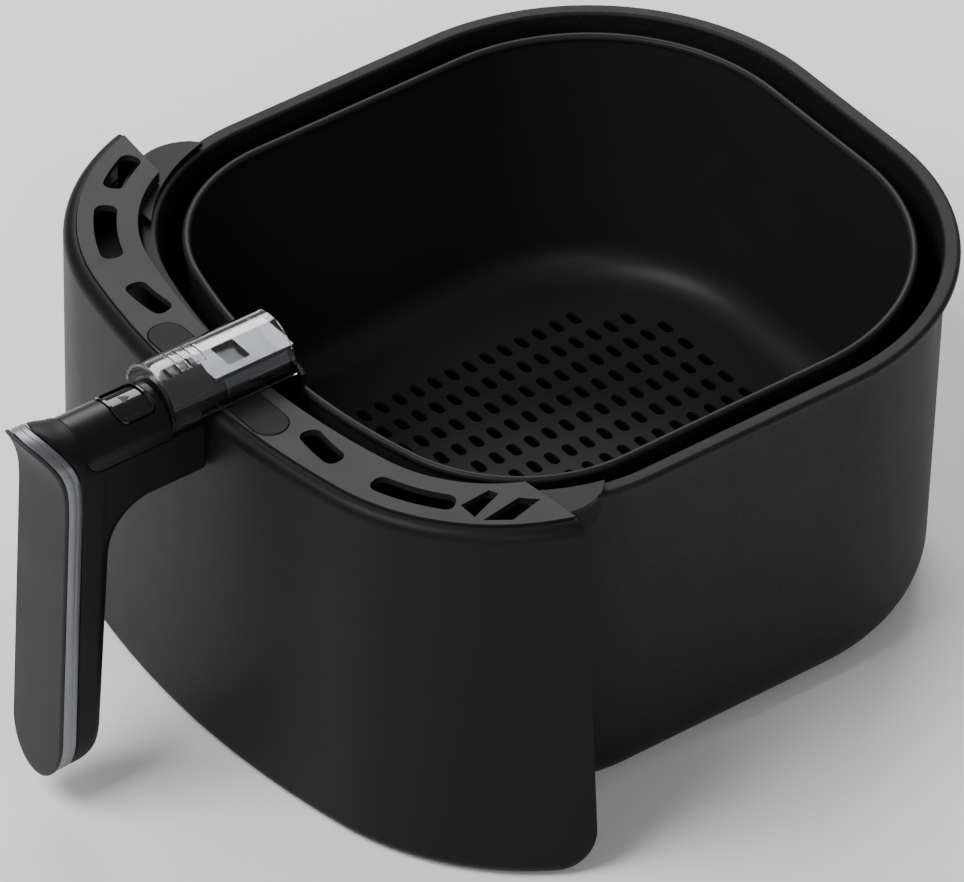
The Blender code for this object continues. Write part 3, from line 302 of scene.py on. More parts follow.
# Sprayed ceramic-filled coating on drawn steel: dark grey with fine lighter flecks, low sheen
PAN_COATING = Finish(
    "speckled_pan_coating", "141415", 0.56, "pan_coating", fleck="28282a", fleck_mm=0.5, fleck_share=0.6,
    relief=0.015 * MM, relief_mm=0.8, specular=0.18,
)
# PTFE nonstick on drawn steel: dark grey, satin, with a faint orange peel
NONSTICK = Finish(
    "ptfe_nonstick", "1f1f20", 0.44, "nonstick", relief=0.004 * MM, relief_mm=1.6, specular=0.14,
)
# Injection-moulded ABS with a fine spark-eroded texture: satin black
BLACK_ABS = Finish(
    "satin_black_abs", "111112", 0.46, "black_abs", relief=0.005 * MM, relief_mm=0.5, specular=0.13
)
# The arm's cover: the same ABS from a finer tool, so it shines more
SATIN_BLACK = Finish(
    "fine_black_abs", "0c0c0d", 0.32, "black_abs", relief=0.003 * MM, relief_mm=0.4, specular=0.22
)
# The same ABS in dark grey, for deck and pad
GREY_ABS = Finish(
    "satin_grey_abs", "252527", 0.5, "deck_grey", relief=0.006 * MM, relief_mm=0.5, specular=0.18
)
# The pad under the arm: the deck's grey ABS with its colour painted darker as shade from the arm above, and
# a finer relief from a smoother tool
SHADED_PAD_ABS = Finish("pad_abs_painted_shade", "121213", 0.5, "deck_grey", relief=0.004 * MM, relief_mm=0.5, specular=0.1)
# Soft satin grey face plate
FACE_ABS = Finish(
    "grip_face_abs", "343435", 0.6, "face_grey", relief=0.005 * MM, relief_mm=0.5, specular=0.15
)
# Vacuum-metallised plastic: silver grey, satin
SILVER = Finish("metallised_silver", "808184", 0.4, "trim_silver", metallic=0.85, relief=0.002 * MM)
# Polished black ABS
GLOSS_BLACK = Finish("polished_black_abs", "0d0d0f", 0.09, "gloss_black", drift=0.02, relief=0.001 * MM)
# The same black ABS, etched matt for the arrowhead
ETCHED = Finish("etched_black_abs", "3c3c3e", 0.6, "gloss_black", relief=0.002 * MM, specular=0.2)
# Rolled stainless sheet, lightly brushed along its length
STAINLESS = Finish(
    "rolled_stainless", "66666a", 0.28, "steel", metallic=1.0,
    relief=0.004 * MM, relief_mm=0.25, brushed=12.0,
)
# Near-black moulding under the guard
CORE_BLACK = Finish("grey_core_moulding", "121213", 0.36, "core_grey", relief=0.006 * MM)
CLEAR = ClearPolycarbonate()

AnyFinish = Finish | ClearPolycarbonate

# What each CAD node would look like if it showed; most are replaced by a piece below
FINISH_NODES: tuple[tuple[AnyFinish, str], ...] = (
    (PAN_COATING, "pan_shell"),
    (
        STAINLESS,
        "pan_bracket catch_leaf catch_screw panel_screw_1 panel_screw_2 panel_screw_3 "
        "panel_screw_4 basket_bracket bracket_rivet_1 bracket_rivet_2 button_spring "
        "latch_spring handle_screw_1 handle_screw_2 latch_slider",
    ),
    (BLACK_ABS, "panel_carrier front_panel arm_cover handle_body"),
    (GREY_ABS, "vent_deck handle_seat"),
    (NONSTICK, "basket_shell"),
    (CORE_BLACK, "arm_core"),
    (SILVER, "grip_trim"),
    (FACE_ABS, "grip_face"),
    (GLOSS_BLACK, "button_bezel release_button"),
    (CLEAR, "button_guard"),
)


def dress_node(item: bpy.types.Object, finish: AnyFinish, smooth: float = 32.0) -> None:
    """Give a carried-over CAD node its material and smooth shading.

    Args:
        item: the node's object.
        finish: the finish it gets.
        smooth: edges sharper than this many degrees stay sharp.
    """
    item.data.materials.clear()
    item.data.materials.append(finish.material())
    item.data.shade_smooth()
    item.data.set_sharp_from_angle(angle=math.radians(smooth))


# ---------------------------------------------------------------- mesh tools


def arc(centre: Flat, radius: float, start: float, end: float, steps: int) -> list[Flat]:
    """Points on an arc, both ends included.

    Args:
        centre: the arc's centre.
        radius: its radius.
        start: first angle in radians.
        end: last angle in radians.
        steps: number of chords.

    Returns:
        The points, steps + 1 of them.
    """
    turn = (end - start) / steps
    return [
        (centre[0] + radius * math.cos(start + turn * i), centre[1] + radius * math.sin(start + turn * i))
        for i in range(steps + 1)
    ]


def loft(
    loops: Sequence[Sequence[Point]], closed: bool = False, zipped: bool = False
) -> bmesh.types.BMesh:
    """A solid through loops of equal length.

    Args:
        loops: the loops in order.
        closed: join the last loop to the first in place of capping both.
        zipped: cap with a strip of quads across, for loops that mirror in their first point.

    Returns:
        The new bmesh, with quads between the loops.
    """
    bm = bmesh.new()
    rings = [[bm.verts.new(p) for p in loop] for loop in loops]
    count = len(rings[0])
    pairs = list(zip(rings, rings[1:]))
    if closed:
        pairs.append((rings[-1], rings[0]))
    for low, high in pairs:
        for i in range(count):
            j = (i + 1) % count
            bm.faces.new((low[i], low[j], high[j], high[i]))
    if not closed:
        for ring in (rings[0], rings[-1]):
            if not zipped:
                bm.faces.new(ring)
                continue
            half = count // 2
            bm.faces.new((ring[0], ring[1], ring[-1]))
            for i in range(1, half - 1):
                bm.faces.new((ring[i], ring[i + 1], ring[count - i - 1], ring[count - i]))
            bm.faces.new((ring[half - 1], ring[half], ring[half + 1]))
    bmesh.ops.recalc_face_normals(bm, faces=bm.faces)
    return bm


def prism(points: Sequence[Flat], low: float, high: float, axis: str = "z") -> bmesh.types.BMesh:
    """A straight prism over a flat outline.

    Args:
        points: the outline in the two other axes, in X, Y, Z order.
        low: start along the axis.
        high: end along the axis.
        axis: "x", "y" or "z".

    Returns:
        The new bmesh.
    """
    stand: dict[str, Callable[[Flat, float], Point]] = {
        "x": lambda p, t: (t, p[0], p[1]),
        "y": lambda p, t: (p[0], t, p[1]),
        "z": lambda p, t: (p[0], p[1], t),
    }
    return loft([[stand[axis](p, t) for p in points] for t in (low, high)])


def block(x: Flat, y: Flat, z: Flat) -> bmesh.types.BMesh:
    """A box between two limits on each axis."""
    return prism([(x[0], y[0]), (x[1], y[0]), (x[1], y[1]), (x[0], y[1])], z[0], z[1])


def add_piece(
    name: str, bm: bmesh.types.BMesh, finish: AnyFinish | None, smooth: float = 32.0
) -> bpy.types.Object:
    """Link a bmesh as an object in the scene.

    Args:
        name: the piece's name.
        bm: its mesh, which is freed.
        finish: its finish, or None for a cutter that is removed later.
        smooth: edges sharper than this many degrees stay sharp.

    Returns:
        The new object.
    """
    mesh = bpy.data.meshes.new(name)
    bm.to_mesh(mesh)
    bm.free()
    item = bpy.data.objects.new(name, mesh)
    bpy.context.scene.collection.objects.link(item)
    if finish:
        mesh.materials.append(finish.material())
    mesh.shade_smooth()
    mesh.set_sharp_from_angle(angle=math.radians(smooth))
    return item


def bake(item: bpy.types.Object, smooth: float = 32.0) -> None:
    """Apply a piece's modifiers and reset its sharp edges.

    Args:
        item: the piece.
        smooth: edges sharper than this many degrees stay sharp.
    """
    graph = bpy.context.evaluated_depsgraph_get()
    made = bpy.data.meshes.new_from_object(item.evaluated_get(graph))
    made.name = item.name
    item.modifiers.clear()
    item.data = made
    made.shade_smooth()
    made.set_sharp_from_angle(angle=math.radians(smooth))


def boolean(
    item: bpy.types.Object, tools: Sequence[bmesh.types.BMesh], operation: str = "DIFFERENCE"
) -> None:
    """Apply exact Booleans with throwaway tools.

    Args:
        item: the piece that is changed.
        tools: closed meshes, which are freed.
        operation: "DIFFERENCE", "UNION" or "INTERSECT".
    """
    made = []
    for bm in tools:
        cutter = add_piece(item.name + "_tool", bm, None)
        modifier = item.modifiers.new("cut", "BOOLEAN")
        modifier.operation = operation
        modifier.solver = "EXACT"
        modifier.object = cutter
        made.append(cutter)
    bake(item)
    for cutter in made:
        bpy.data.objects.remove(cutter, do_unlink=True)


def blend(item: bpy.types.Object, parts: Sequence[bmesh.types.BMesh], voxel: float) -> None:
    """Grow overlapping closed shapes together into one smooth moulding.

    Args:
        item: the piece that is changed.
        parts: the shapes joined to it, which are freed.
        voxel: size of the new faces.
    """
    joined = bmesh.new()
    joined.from_mesh(item.data)
    for part in parts:
        mesh = bpy.data.meshes.new(item.name + "_part")
        part.to_mesh(mesh)
        part.free()
        joined.from_mesh(mesh)
        bpy.data.meshes.remove(mesh)
    joined.to_mesh(item.data)
    joined.free()
    remesh = item.modifiers.new("skin", "REMESH")
    remesh.mode = "VOXEL"
    remesh.voxel_size = voxel
    remesh.adaptivity = 0.0
    relax = item.modifiers.new("relax", "SMOOTH")
    relax.factor = 0.5
    relax.iterations = 6
    bake(item, 80.0)


def round_edges(item: bpy.types.Object, width: float, segments: int = 3, angle: float = 35.0) -> None:
    """Bevel a piece's sharp edges and weight its normals.

    Args:
        item: the piece.
        width: bevel width.
        segments: bevel segments.
        angle: edges sharper than this many degrees are rounded.
    """
    bevel = item.modifiers.new("edge", "BEVEL")
    bevel.width = width
    bevel.segments = segments
    bevel.limit_method = "ANGLE"
    bevel.angle_limit = math.radians(angle)
    bevel.harden_normals = False
    bake(item, 50.0)
    item.modifiers.new("weights", "WEIGHTED_NORMAL").keep_sharp = True


def place(item: bpy.types.Object, body: Body, slot: str, *nodes: str) -> None:
    """Hand a finished piece to the frame.

    Args:
        item: the piece.
        body: the body it moves with.
        slot: the record's material slot; not used.
        nodes: CAD nodes it stands for.
    """
    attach(item, body.value)
    if nodes:
        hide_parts(*nodes)
    LOG.info("%s rides on %s", item.name, body.value)


# ---------------------------------------------------------------- stage


@dataclass
class Studio:
    """Floor, soft lights and camera."""

    camera_at: Point = (2.1447, -1.6279, 2.2324)
    right: Point = (0.5972, 0.8021, 0.0)
    up: Point = (-0.5049, 0.3759, 0.7771)
    back: Point = (0.6233, -0.4641, 0.6295)
    lens_mm: float = 371.46
    floor_half: float = 3.0

    def build(self) -> None:
        """Make everything that isn't part of the object."""
        self._floor()
        self._lights()
        self._camera()

    def _floor(self) -> None:
        """A wide flat pale floor."""
        bm = bmesh.new()
        half = self.floor_half
        corners = [(-half, -half, 0.0), (half, -half, 0.0), (half, half, 0.0), (-half, half, 0.0)]
        bm.faces.new([bm.verts.new(c) for c in corners])
        floor = add_piece("studio_floor", bm, None)
        paint, shader = start_material("matt_paper")
        shader.inputs["Base Color"].default_value = linear("fafafa")
        shader.inputs["Roughness"].default_value = 0.9
        shader.inputs["Specular IOR Level"].default_value = 0.1
        floor.data.materials.append(paint)

    def _lights(self) -> None:
        """A key softbox behind to the left, one in front, a weak one at the side, and a pale world."""
        world = bpy.data.worlds.new("studio_world")
        bpy.context.scene.world = world
        world.use_nodes = True
        background = world.node_tree.nodes["Background"]
        background.inputs["Color"].default_value = linear("f7f8fa")
        background.inputs["Strength"].default_value = 0.26
        self._softbox("key", (-1.25, 0.9, 1.25), (1.3, 1.0), 27.0)
        self._softbox("front", (-0.2, -1.3, 1.9), (1.2, 1.0), 48.0)
        self._softbox("side", (1.6, -0.9, 1.2), (0.5, 0.9), 9.0)

    def _softbox(self, name: str, at: Point, size: Flat, power: float) -> None:
        """A rectangular area light aimed at the drawer.

        Args:
            name: the light's name.
            at: where it stands.
            size: its width and height.
            power: watts.
        """
        lamp = bpy.data.lights.new(name, "AREA")
        lamp.shape = "RECTANGLE"
        lamp.size, lamp.size_y = size
        lamp.energy = power
        item = bpy.data.objects.new(name, lamp)
        item.location = at
        aim = Vector((0.0, 0.0, 0.08)) - Vector(at)
        item.rotation_mode = "QUATERNION"
        item.rotation_quaternion = aim.to_track_quat("-Z", "Y")
        bpy.context.scene.collection.objects.link(item)

    def _camera(self) -> None:
        """A long lens looking down on the drawer's right front corner."""
        lens = bpy.data.cameras.new("camera")
        lens.lens = self.lens_mm
        lens.sensor_width = 36.0
        lens.clip_start, lens.clip_end = 0.05, 50.0
        item = bpy.data.objects.new("camera", lens)
        turned = Matrix((self.right, self.up, self.back)).transposed().to_4x4()
        item.matrix_world = Matrix.Translation(self.camera_at) @ turned
        bpy.context.scene.collection.objects.link(item)
        bpy.context.scene.camera = item


# ---------------------------------------------------------------- shared outlines


def bow_corner(
    half_width: float, front: float, corner_r: float, bow_r: float
) -> tuple[float, float, float]:
    """Centre of the arc that is tangent to a side and to a bowed front.

    Args:
        half_width: distance of the side from the middle.
        front: Y of the bow's crown.
        corner_r: the corner's radius.
        bow_r: the bow's radius.

    Returns:
        The centre's X and Y, and half the angle that the bow spans.
    """
    cx = half_width - corner_r
    cy = front + bow_r - math.sqrt((bow_r - corner_r) ** 2 - cx**2)
    return cx, cy, math.asin(cx / (bow_r - corner_r))


def spread(start: Flat, end: Flat, steps: int) -> list[Flat]:
    """Points between two ends, both left out."""
    return [
        (start[0] + (end[0] - start[0]) * i / steps, start[1] + (end[1] - start[1]) * i / steps)
        for i in range(1, steps)
    ]


@dataclass(frozen=True)
class VesselOutline:
    """Plan of basket and pan: straight back and sides, large corners, bowed front."""

    half_width: float = 105.3 * MM
    back_y: float = 114.6 * MM
    front_y: float = 114.6 * MM
    back_r: float = 78.8 * MM
    front_r: float = 58.4 * MM
    bow_r: float = 239.0 * MM
    corner_steps: int = 30
    straight_steps: int = 12

    def points(self, offset: float) -> list[Flat]:
        """The closed outline, moved outwards.

        Args:
            offset: how far outwards.

        Returns:
            Plan points, the same number for every offset.
        """
        cx, cy, turn = bow_corner(self.half_width, -self.front_y, self.front_r, self.bow_r)
        down = -math.pi / 2
        bx, by = self.half_width - self.back_r, self.back_y - self.back_r
        bow_centre = (0.0, self.bow_r - self.front_y)
        half_bow = arc(bow_centre, self.bow_r + offset, down, down + turn, self.straight_steps)
        front = arc((cx, cy), self.front_r + offset, down + turn, 0.0, self.corner_steps)
        back = arc((bx, by), self.back_r + offset, 0.0, math.pi / 2, self.corner_steps)
        side = spread(front[-1], back[0], self.straight_steps)
        half_back = spread(back[-1], (0.0, back[-1][1]), self.straight_steps)
        right = half_bow[:-1] + front + side + back + half_back
        left = [(-x, y) for x, y in reversed(right[1:])]
        return right + [(0.0, back[-1][1])] + left

    def loop(self, offset: float, z: float) -> list[Point]:
        """The outline at a height, moved outwards."""
        return [(x, y, z) for x, y in self.points(offset)]

    def inside(self, x: float, y: float, offset: float) -> bool:
        """Whether a plan point lies inside the outline moved by offset."""
        x = abs(x)
        cx, cy, _ = bow_corner(self.half_width, -self.front_y, self.front_r, self.bow_r)
        bx, by = self.half_width - self.back_r, self.back_y - self.back_r
        if x > self.half_width + offset or y > self.back_y + offset:
            return False
        if math.hypot(x, y - self.bow_r + self.front_y) > self.bow_r + offset:
            return False
        if x > bx and y > by and math.hypot(x - bx, y - by) > self.back_r + offset:
            return False
        return not (x > cx and y < cy and math.hypot(x - cx, y - cy) > self.front_r + offset)


RIM_Z = 138.0 * MM
VESSEL = VesselOutline()


@dataclass
class Basket:
    """Coated steel basket with a rolled rim and a perforated floor."""

    depth: float = 100.0 * MM
    wall: float = 1.1 * MM
    taper: float = 4.5 * MM
    floor_r: float = 13.0 * MM
    bead: float = 1.5 * MM
    hole: Flat = (7.2 * MM, 4.0 * MM)
    pitch: Flat = (11.7 * MM, 7.7 * MM)
    margin: float = 17.0 * MM

    def build(self) -> None:
        """Make the shell and hand it to the frame."""
        skin = loft([VESSEL.loop(offset, z) for offset, z in self._profile()])
        shell = add_piece("basket_liner", skin, NONSTICK, 40.0)
        boolean(shell, [self._holes()])
        shell.modifiers.new("weights", "WEIGHTED_NORMAL").keep_sharp = True
        place(shell, Body.BASKET, NONSTICK.slot, "basket_shell")
        for side in (-1, 1):
            self._rivet(side)

    def _profile(self) -> list[Flat]:
        """(offset, height) round the shell's section, from the floor's outer face to its inner one."""
        floor = RIM_Z - self.depth
        top_in = -self.bead * 0.6
        low_in = top_in - self.taper
        outer_r = self.floor_r + self.wall
        neck = RIM_Z - 2 * self.bead
        centre = (low_in + self.wall - outer_r, floor - self.wall + outer_r)
        section = arc(centre, outer_r, -math.pi / 2, 0.0, 12)
        section += [(low_in + self.wall + self.taper * t, floor + (neck - floor) * t) for t in (0.4, 0.7)]
        section.append((top_in + self.wall, neck))
        section += arc((0.0, RIM_Z - self.bead), self.bead, math.radians(-35.0), math.radians(215.0), 14)
        section.append((top_in, neck - 0.4 * MM))
        section += [(low_in + self.taper * t, floor + (neck - floor) * t) for t in (0.7, 0.4)]
        centre = (low_in - self.floor_r, floor + self.floor_r)
        return section + arc(centre, self.floor_r, 0.0, -math.pi / 2, 12)

    def _holes(self) -> bmesh.types.BMesh:
        """One cutter holding every punched hole, each with round ends."""
        bm = bmesh.new()
        floor = RIM_Z - self.depth
        half, end = self.hole[1] / 2, self.hole[0] / 2
        shape = arc((end - half, 0.0), half, -math.pi / 2, math.pi / 2, 6)
        shape += arc((half - end, 0.0), half, math.pi / 2, math.pi * 1.5, 6)
        limit = -self.bead * 0.6 - self.taper - self.floor_r - self.margin + self.hole[0]
        for i in range(-10, 10):
            for j in range(-16, 16):
                x, y = (i + 0.5) * self.pitch[0], (j + 0.5) * self.pitch[1]
                if VESSEL.inside(abs(x) + end, y, limit) and VESSEL.inside(x, y + half, limit):
                    levels = (floor - 4 * MM, floor + 3 * MM)
                    rings = [[bm.verts.new((x + u, y + v, z)) for u, v in shape] for z in levels]
                    count = len(shape)
                    for k in range(count):
                        n = (k + 1) % count
                        bm.faces.new((rings[0][k], rings[0][n], rings[1][n], rings[1][k]))
                    bm.faces.new(list(reversed(rings[0])))
                    bm.faces.new(rings[1])
        return bm

    def _rivet(self, side: int) -> None:
        """A domed rivet where the bracket meets the basket.

        Args:
            side: -1 for the left one, 1 for the right one.
        """
        index = 1 if side < 0 else 2
        low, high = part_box(f"bracket_rivet_{index}")
        cx, cz = (low.x + high.x) / 2, (low.z + high.z) / 2
        head = (high.x - low.x) / 2
        shank, under = 1.8 * MM, 1.15 * MM
        section = [
            (0.05 * MM, 0.0), (head * 0.55, 0.0), (head * 0.86, 0.25 * MM),
            (head, 0.8 * MM), (head, 1.1 * MM),
        ]  # fmt: skip
        profile = [(r, high.y - d) for r, d in section]
        profile += [(shank, high.y - under), (shank, low.y + under)]
        profile += [(r, low.y + d) for r, d in reversed(section)]
        loops = []
        for r, y in profile:
            loops.append([(cx + x, y, cz + z) for x, z in arc((0.0, 0.0), r, 0.0, math.tau, 28)[:-1]])
        rivet = add_piece(f"domed_rivet_{index}", loft(loops), STAINLESS, 50.0)
        place(rivet, Body.BASKET, STAINLESS.slot, f"bracket_rivet_{index}")


@dataclass
class Pan:
    """Drawn steel pan with a speckled coating, a curled flange and a pressed dimple at each back corner."""

    wall: float = 1.2 * MM
    gap: float = 10.0 * MM
    taper: float = 3.5 * MM
    floor_r: float = 18.0 * MM
    reach: float = 16.0 * MM
    rise: float = 1.4 * MM
    curl: float = 1.7 * MM
    dimple_r: float = 8.0 * MM
    dimple_depth: float = 1.9 * MM
    dimple_drop: float = 15.0 * MM
    dimple_turn: float = 40.0
    edge_r: float = 1.3 * MM

    def build(self) -> None:
        """Make the shell and hand it to the frame."""
        bm = loft([VESSEL.loop(o, z) for o, z in self._profile()])
        self._press_dimples(bm)
        shell = add_piece("pan_coated", bm, PAN_COATING, 50.0)
        shell.modifiers.new("weights", "WEIGHTED_NORMAL").keep_sharp = True
        place(shell, Body.PAN, PAN_COATING.slot, "pan_shell")

    def _profile(self) -> list[Flat]:
        """(offset, height) round the section, from the floor's underside to its inside."""
        out_top = self.gap + self.wall
        out_low = out_top - self.taper
        lip = RIM_Z + self.rise
        low = self.floor_r
        rise_to = lip - 2.2 * self.curl
        section = arc((out_low - low, low), low, -math.pi / 2, 0.0, 12)
        for t in (0.25, 0.5, 0.75, 0.85, 0.92):
            section.append((out_low + self.taper * t, low + (rise_to - low) * t))
        section.append((out_top, rise_to - 0.5 * MM))
        centre = (self.reach - self.curl, lip - self.curl)
        section += arc(centre, self.curl, math.radians(-140.0), math.radians(90.0), 11)
        edge = self.edge_r
        section += arc((self.gap + edge, lip - edge), edge, math.pi / 2, math.pi, 6)
        for t in (0.05, 0.085, 0.12, 0.155, 0.19, 0.25):
            section.append((self.gap - self.taper * t, lip - (lip - low) * t))
        in_low = out_low - self.wall
        section += [(in_low + self.taper * t, low + (rise_to - low) * t) for t in (0.5, 0.25)]
        inner_r = self.floor_r - self.wall
        return section + arc((in_low - inner_r, self.wall + inner_r), inner_r, 0.0, -math.pi / 2, 12)

    def _press_dimples(self, bm: bmesh.types.BMesh) -> None:
        """Push both skins of the wall inwards round the middle of each dimple.

        Args:
            bm: the pan's mesh.
        """
        bx, by = VESSEL.half_width - VESSEL.back_r, VESSEL.back_y - VESSEL.back_r
        angle = math.radians(self.dimple_turn)
        reach = VESSEL.back_r + self.gap
        for side in (-1, 1):
            out = Vector((side * math.cos(angle), math.sin(angle), 0.0))
            middle = Vector((side * bx, by, RIM_Z - self.dimple_drop)) + out * reach
            for vert in bm.verts:
                gap = (vert.co - middle).length / self.dimple_r
                if gap < 1.0:
                    vert.co -= out * self.dimple_depth * (1 - gap**2) ** 2


@dataclass
class PanelAndDeck:
    """Curved front panel, the slotted deck behind its top edge, and the pad that the arm rests on."""

    reach: float = 138.1 * MM
    front: float = -155.0 * MM
    end_y: float = -89.0 * MM
    corner_r: float = 84.8 * MM
    bow_r: float = 347.0 * MM
    flare: float = 13.9 * MM
    thick: float = 3.0 * MM
    top: float = RIM_Z + 8.0 * MM
    foot: float = 0.8 * MM
    top_r: float = 4.5 * MM
    foot_r: float = 4.5 * MM
    heel_r: float = 14.0 * MM
    deck_top: float = RIM_Z + 8.8 * MM
    deck_thick: float = 2.5 * MM
    skirt_low: float = RIM_Z + 4.4 * MM
    deck_line: tuple[float, float, float, float] = (110.3 * MM, -130.3 * MM, 55.2 * MM, 279.0 * MM)
    slot_width: float = 8.0 * MM
    slot_corner: float = 3.2 * MM
    slot_inset: float = 14.5 * MM
    pad_half: Flat = (36.0 * MM, 6.7 * MM)
    pad_top: float = RIM_Z + 9.0 * MM
    pad_thick: float = 6.0 * MM

    def build(self) -> None:
        """Make panel, deck and pad."""
        self._panel()
        self._deck()
        self._pad()

    def line(
        self, reach: float, front: float, corner_r: float, bow_r: float, end_y: float, inset: float
    ) -> list[Flat]:
        """An open line from the left end round the front to the right end.

        Args:
            reach: half width.
            front: Y of the crown.
            corner_r: radius at the ends.
            bow_r: radius of the front.
            end_y: Y where the line ends.
            inset: how far the line is moved inwards.

        Returns:
            The plan points.
        """
        cx, cy, turn = bow_corner(reach, front, corner_r, bow_r)
        down = -math.pi / 2
        start = down + turn
        end = math.asin((end_y - cy) / (corner_r - inset))
        right = arc((0.0, front + bow_r), bow_r - inset, down, start, 24)
        shares = [0.87 * i / 32 for i in range(1, 33)]
        shares += [0.87 + 0.13 * math.sin(math.pi / 2 * i / 16) for i in range(1, 17)]
        for share in shares:
            a = start + (end - start) * share
            right.append((cx + (corner_r - inset) * math.cos(a), cy + (corner_r - inset) * math.sin(a)))
        return [(-x, y) for x, y in reversed(right)] + right[1:]

    def panel_line(self, drop: float, inset: float) -> list[Flat]:
        """The panel's outline; drop runs from 0 at its top to 1 at its foot."""
        extra = self.flare * drop
        reach, corner_r = self.reach + extra, self.corner_r + extra
        return self.line(reach, self.front, corner_r, self.bow_r, self.end_y, inset)

    def _rows(self, inner: float) -> list[tuple[str, float, float]]:
        """(zone, inset, height term) for every row of one skin, from the top edge to the foot.

        Args:
            inner: the skin's distance inside the outer skin.

        Returns:
            The rows.
        """
        rows = []
        for i in range(9):
            a = math.pi / 2 * i / 8
            r = self.top_r - inner
            rows.append(("top", self.top_r - r * math.sin(a), r * math.cos(a)))
        rows += [("middle", inner, t / 10) for t in range(1, 10)]
        for i in range(9):
            a = math.pi / 2 * i / 8
            r = self.foot_r - inner
            rows.append(("foot", self.foot_r - r * math.cos(a), r * math.sin(a)))
        return rows

    def _panel(self) -> None:
        """The panel: a curved shell with rounded top, foot and heels."""
        reference = self.panel_line(1.0, 0.0)
        lengths = [0.0]
        for a, b in zip(reference, reference[1:]):
            lengths.append(lengths[-1] + math.dist(a, b))
        skins = []
        for inner in (0.0, self.thick):
            skin = []
            for zone, inset, term in self._rows(inner):
                row = []
                for j, length in enumerate(lengths):
                    near = min(length, lengths[-1] - length)
                    lift = 0.0
                    if near < self.heel_r:
                        lift = self.heel_r - math.sqrt(self.heel_r**2 - (self.heel_r - near) ** 2)
                    low = self.foot + lift + self.foot_r
                    high = self.top - self.top_r
                    z = {"top": high + term, "middle": high + (low - high) * term, "foot": low - term}[zone]
                    x, y = self.panel_line((self.top - z) / (self.top - self.foot), inset)[j]
                    row.append((x, y, z))
                skin.append(row)
            skins.append(skin)
        panel = add_piece("panel_moulding", shell_between(skins[0], skins[1]), BLACK_ABS, 40.0)
        round_edges(panel, 0.5 * MM, 2, 60.0)
        place(panel, Body.PAN, BLACK_ABS.slot, "front_panel")

    def slot_outline(self, centre: Flat, radius: float, middle: float, length: float) -> list[Flat]:
        """A slot with rounded corners, bent round a centre.

        Args:
            centre: the bend's centre.
            radius: the bend's radius.
            middle: angle of the slot's middle from -Y, in degrees.
            length: the slot's length.

        Returns:
            Its plan outline.
        """
        mid = math.radians(middle) - math.pi / 2
        r = min(self.slot_corner, self.slot_width * 0.45)
        along, across = length / 2 - r, self.slot_width / 2 - r
        points: list[Flat] = []
        corners = ((along, across), (-along, across), (-along, -across), (along, -across))
        for quarter, (u, v) in enumerate(corners):
            points += arc((u, v), r, quarter * math.pi / 2, (quarter + 1) * math.pi / 2, 8)
            if quarter in (0, 2):
                edge = math.copysign(self.slot_width / 2, v)
                points += [(u * t, edge) for t in (0.75, 0.5, 0.25, 0.0, -0.25, -0.5, -0.75)]
        turned = []
        for u, v in points:
            a, reach = mid + u / radius, radius + v
            turned.append((centre[0] + reach * math.cos(a), centre[1] + reach * math.sin(a)))
        return turned

    def _slot_outlines(self) -> list[list[Flat]]:
        """Every opening of the deck, seen from above."""
        cx, cy, _ = bow_corner(self.reach, self.front, self.corner_r, self.bow_r)
        radius = self.corner_r - self.slot_inset
        made = []
        for side in (-1, 1):
            near = math.degrees(math.asin((50.0 * MM - cx) / radius))
            spots = [(side * near, 19.5 * MM), (side * 30.0, 30.0 * MM)]
            if side < 0:
                spots.append((side * 58.0, 19.5 * MM))
            made += [self.slot_outline((side * cx, cy), radius, a, length) for a, length in spots]
        edge, end = self.reach - 1.3 * MM, self.end_y
        for pocket in (
            ((34.4, 27.0), (26.7, 27.0), (31.8, 13.3), (35.2, 14.8)),
            ((23.8, 25.8), (18.0, 17.6), (21.2, 3.9), (26.2, 9.4)),
        ):
            made.append([(edge - u * MM, end - v * MM) for u, v in pocket])
        return made

    def _deck(self) -> None:
        """The deck: a crescent plate with slots, a skirt towards the pan, and soft edges."""
        end_y = self.end_y - 2.4 * MM
        outer = self.panel_line(0.0, self.top_r + GAP)
        inner = self.line(*self.deck_line, end_y, 0.0)
        back = self.line(*self.deck_line, end_y, -1.6 * MM)
        plate = band(outer, inner, self.deck_top - self.deck_thick, self.deck_top)
        skirt = band(inner, back, self.skirt_low, self.deck_top - self.deck_thick / 2)
        deck = add_piece("deck_moulding", plate, GREY_ABS)
        boolean(deck, [skirt], "UNION")
        low, high = self.deck_top - 10 * MM, self.deck_top + 1 * MM
        half, radius = self.pad_half
        pad_hole = prism(self.stadium(half + GAP, radius + GAP), low, high)
        boolean(deck, [pad_hole, *[prism(points, low, high) for points in self._slot_outlines()]])
        round_edges(deck, 0.45 * MM, 3, 50.0)
        place(deck, Body.PAN, GREY_ABS.slot, "vent_deck")

    def stadium(self, half: float, radius: float) -> list[Flat]:
        """The pad's outline with round ends.

        Args:
            half: half its length.
            radius: half its width.

        Returns:
            The plan points.
        """
        cy = self.front + 13.5 * MM
        right = arc((half - radius, cy), radius, -math.pi / 2, math.pi / 2, 20)
        return right + [(-x, y) for x, y in reversed(right)]

    def _pad(self) -> None:
        """The flush pad, with the slot for the latch hook."""
        low, top = self.pad_top - self.pad_thick, self.pad_top
        # The pad's colour is painted darker than the deck grey, as shade under the arm
        pad = add_piece("arm_rest_pad", prism(self.stadium(*self.pad_half), low, top), SHADED_PAD_ABS)
        slot = block((-6.2 * MM, 0.2 * MM), (-146.2 * MM, -136.4 * MM), (low - 6 * MM, top + 1 * MM))
        boolean(pad, [slot])
        round_edges(pad, 0.4 * MM, 3)
        place(pad, Body.PAN, GREY_ABS.slot, "handle_seat")


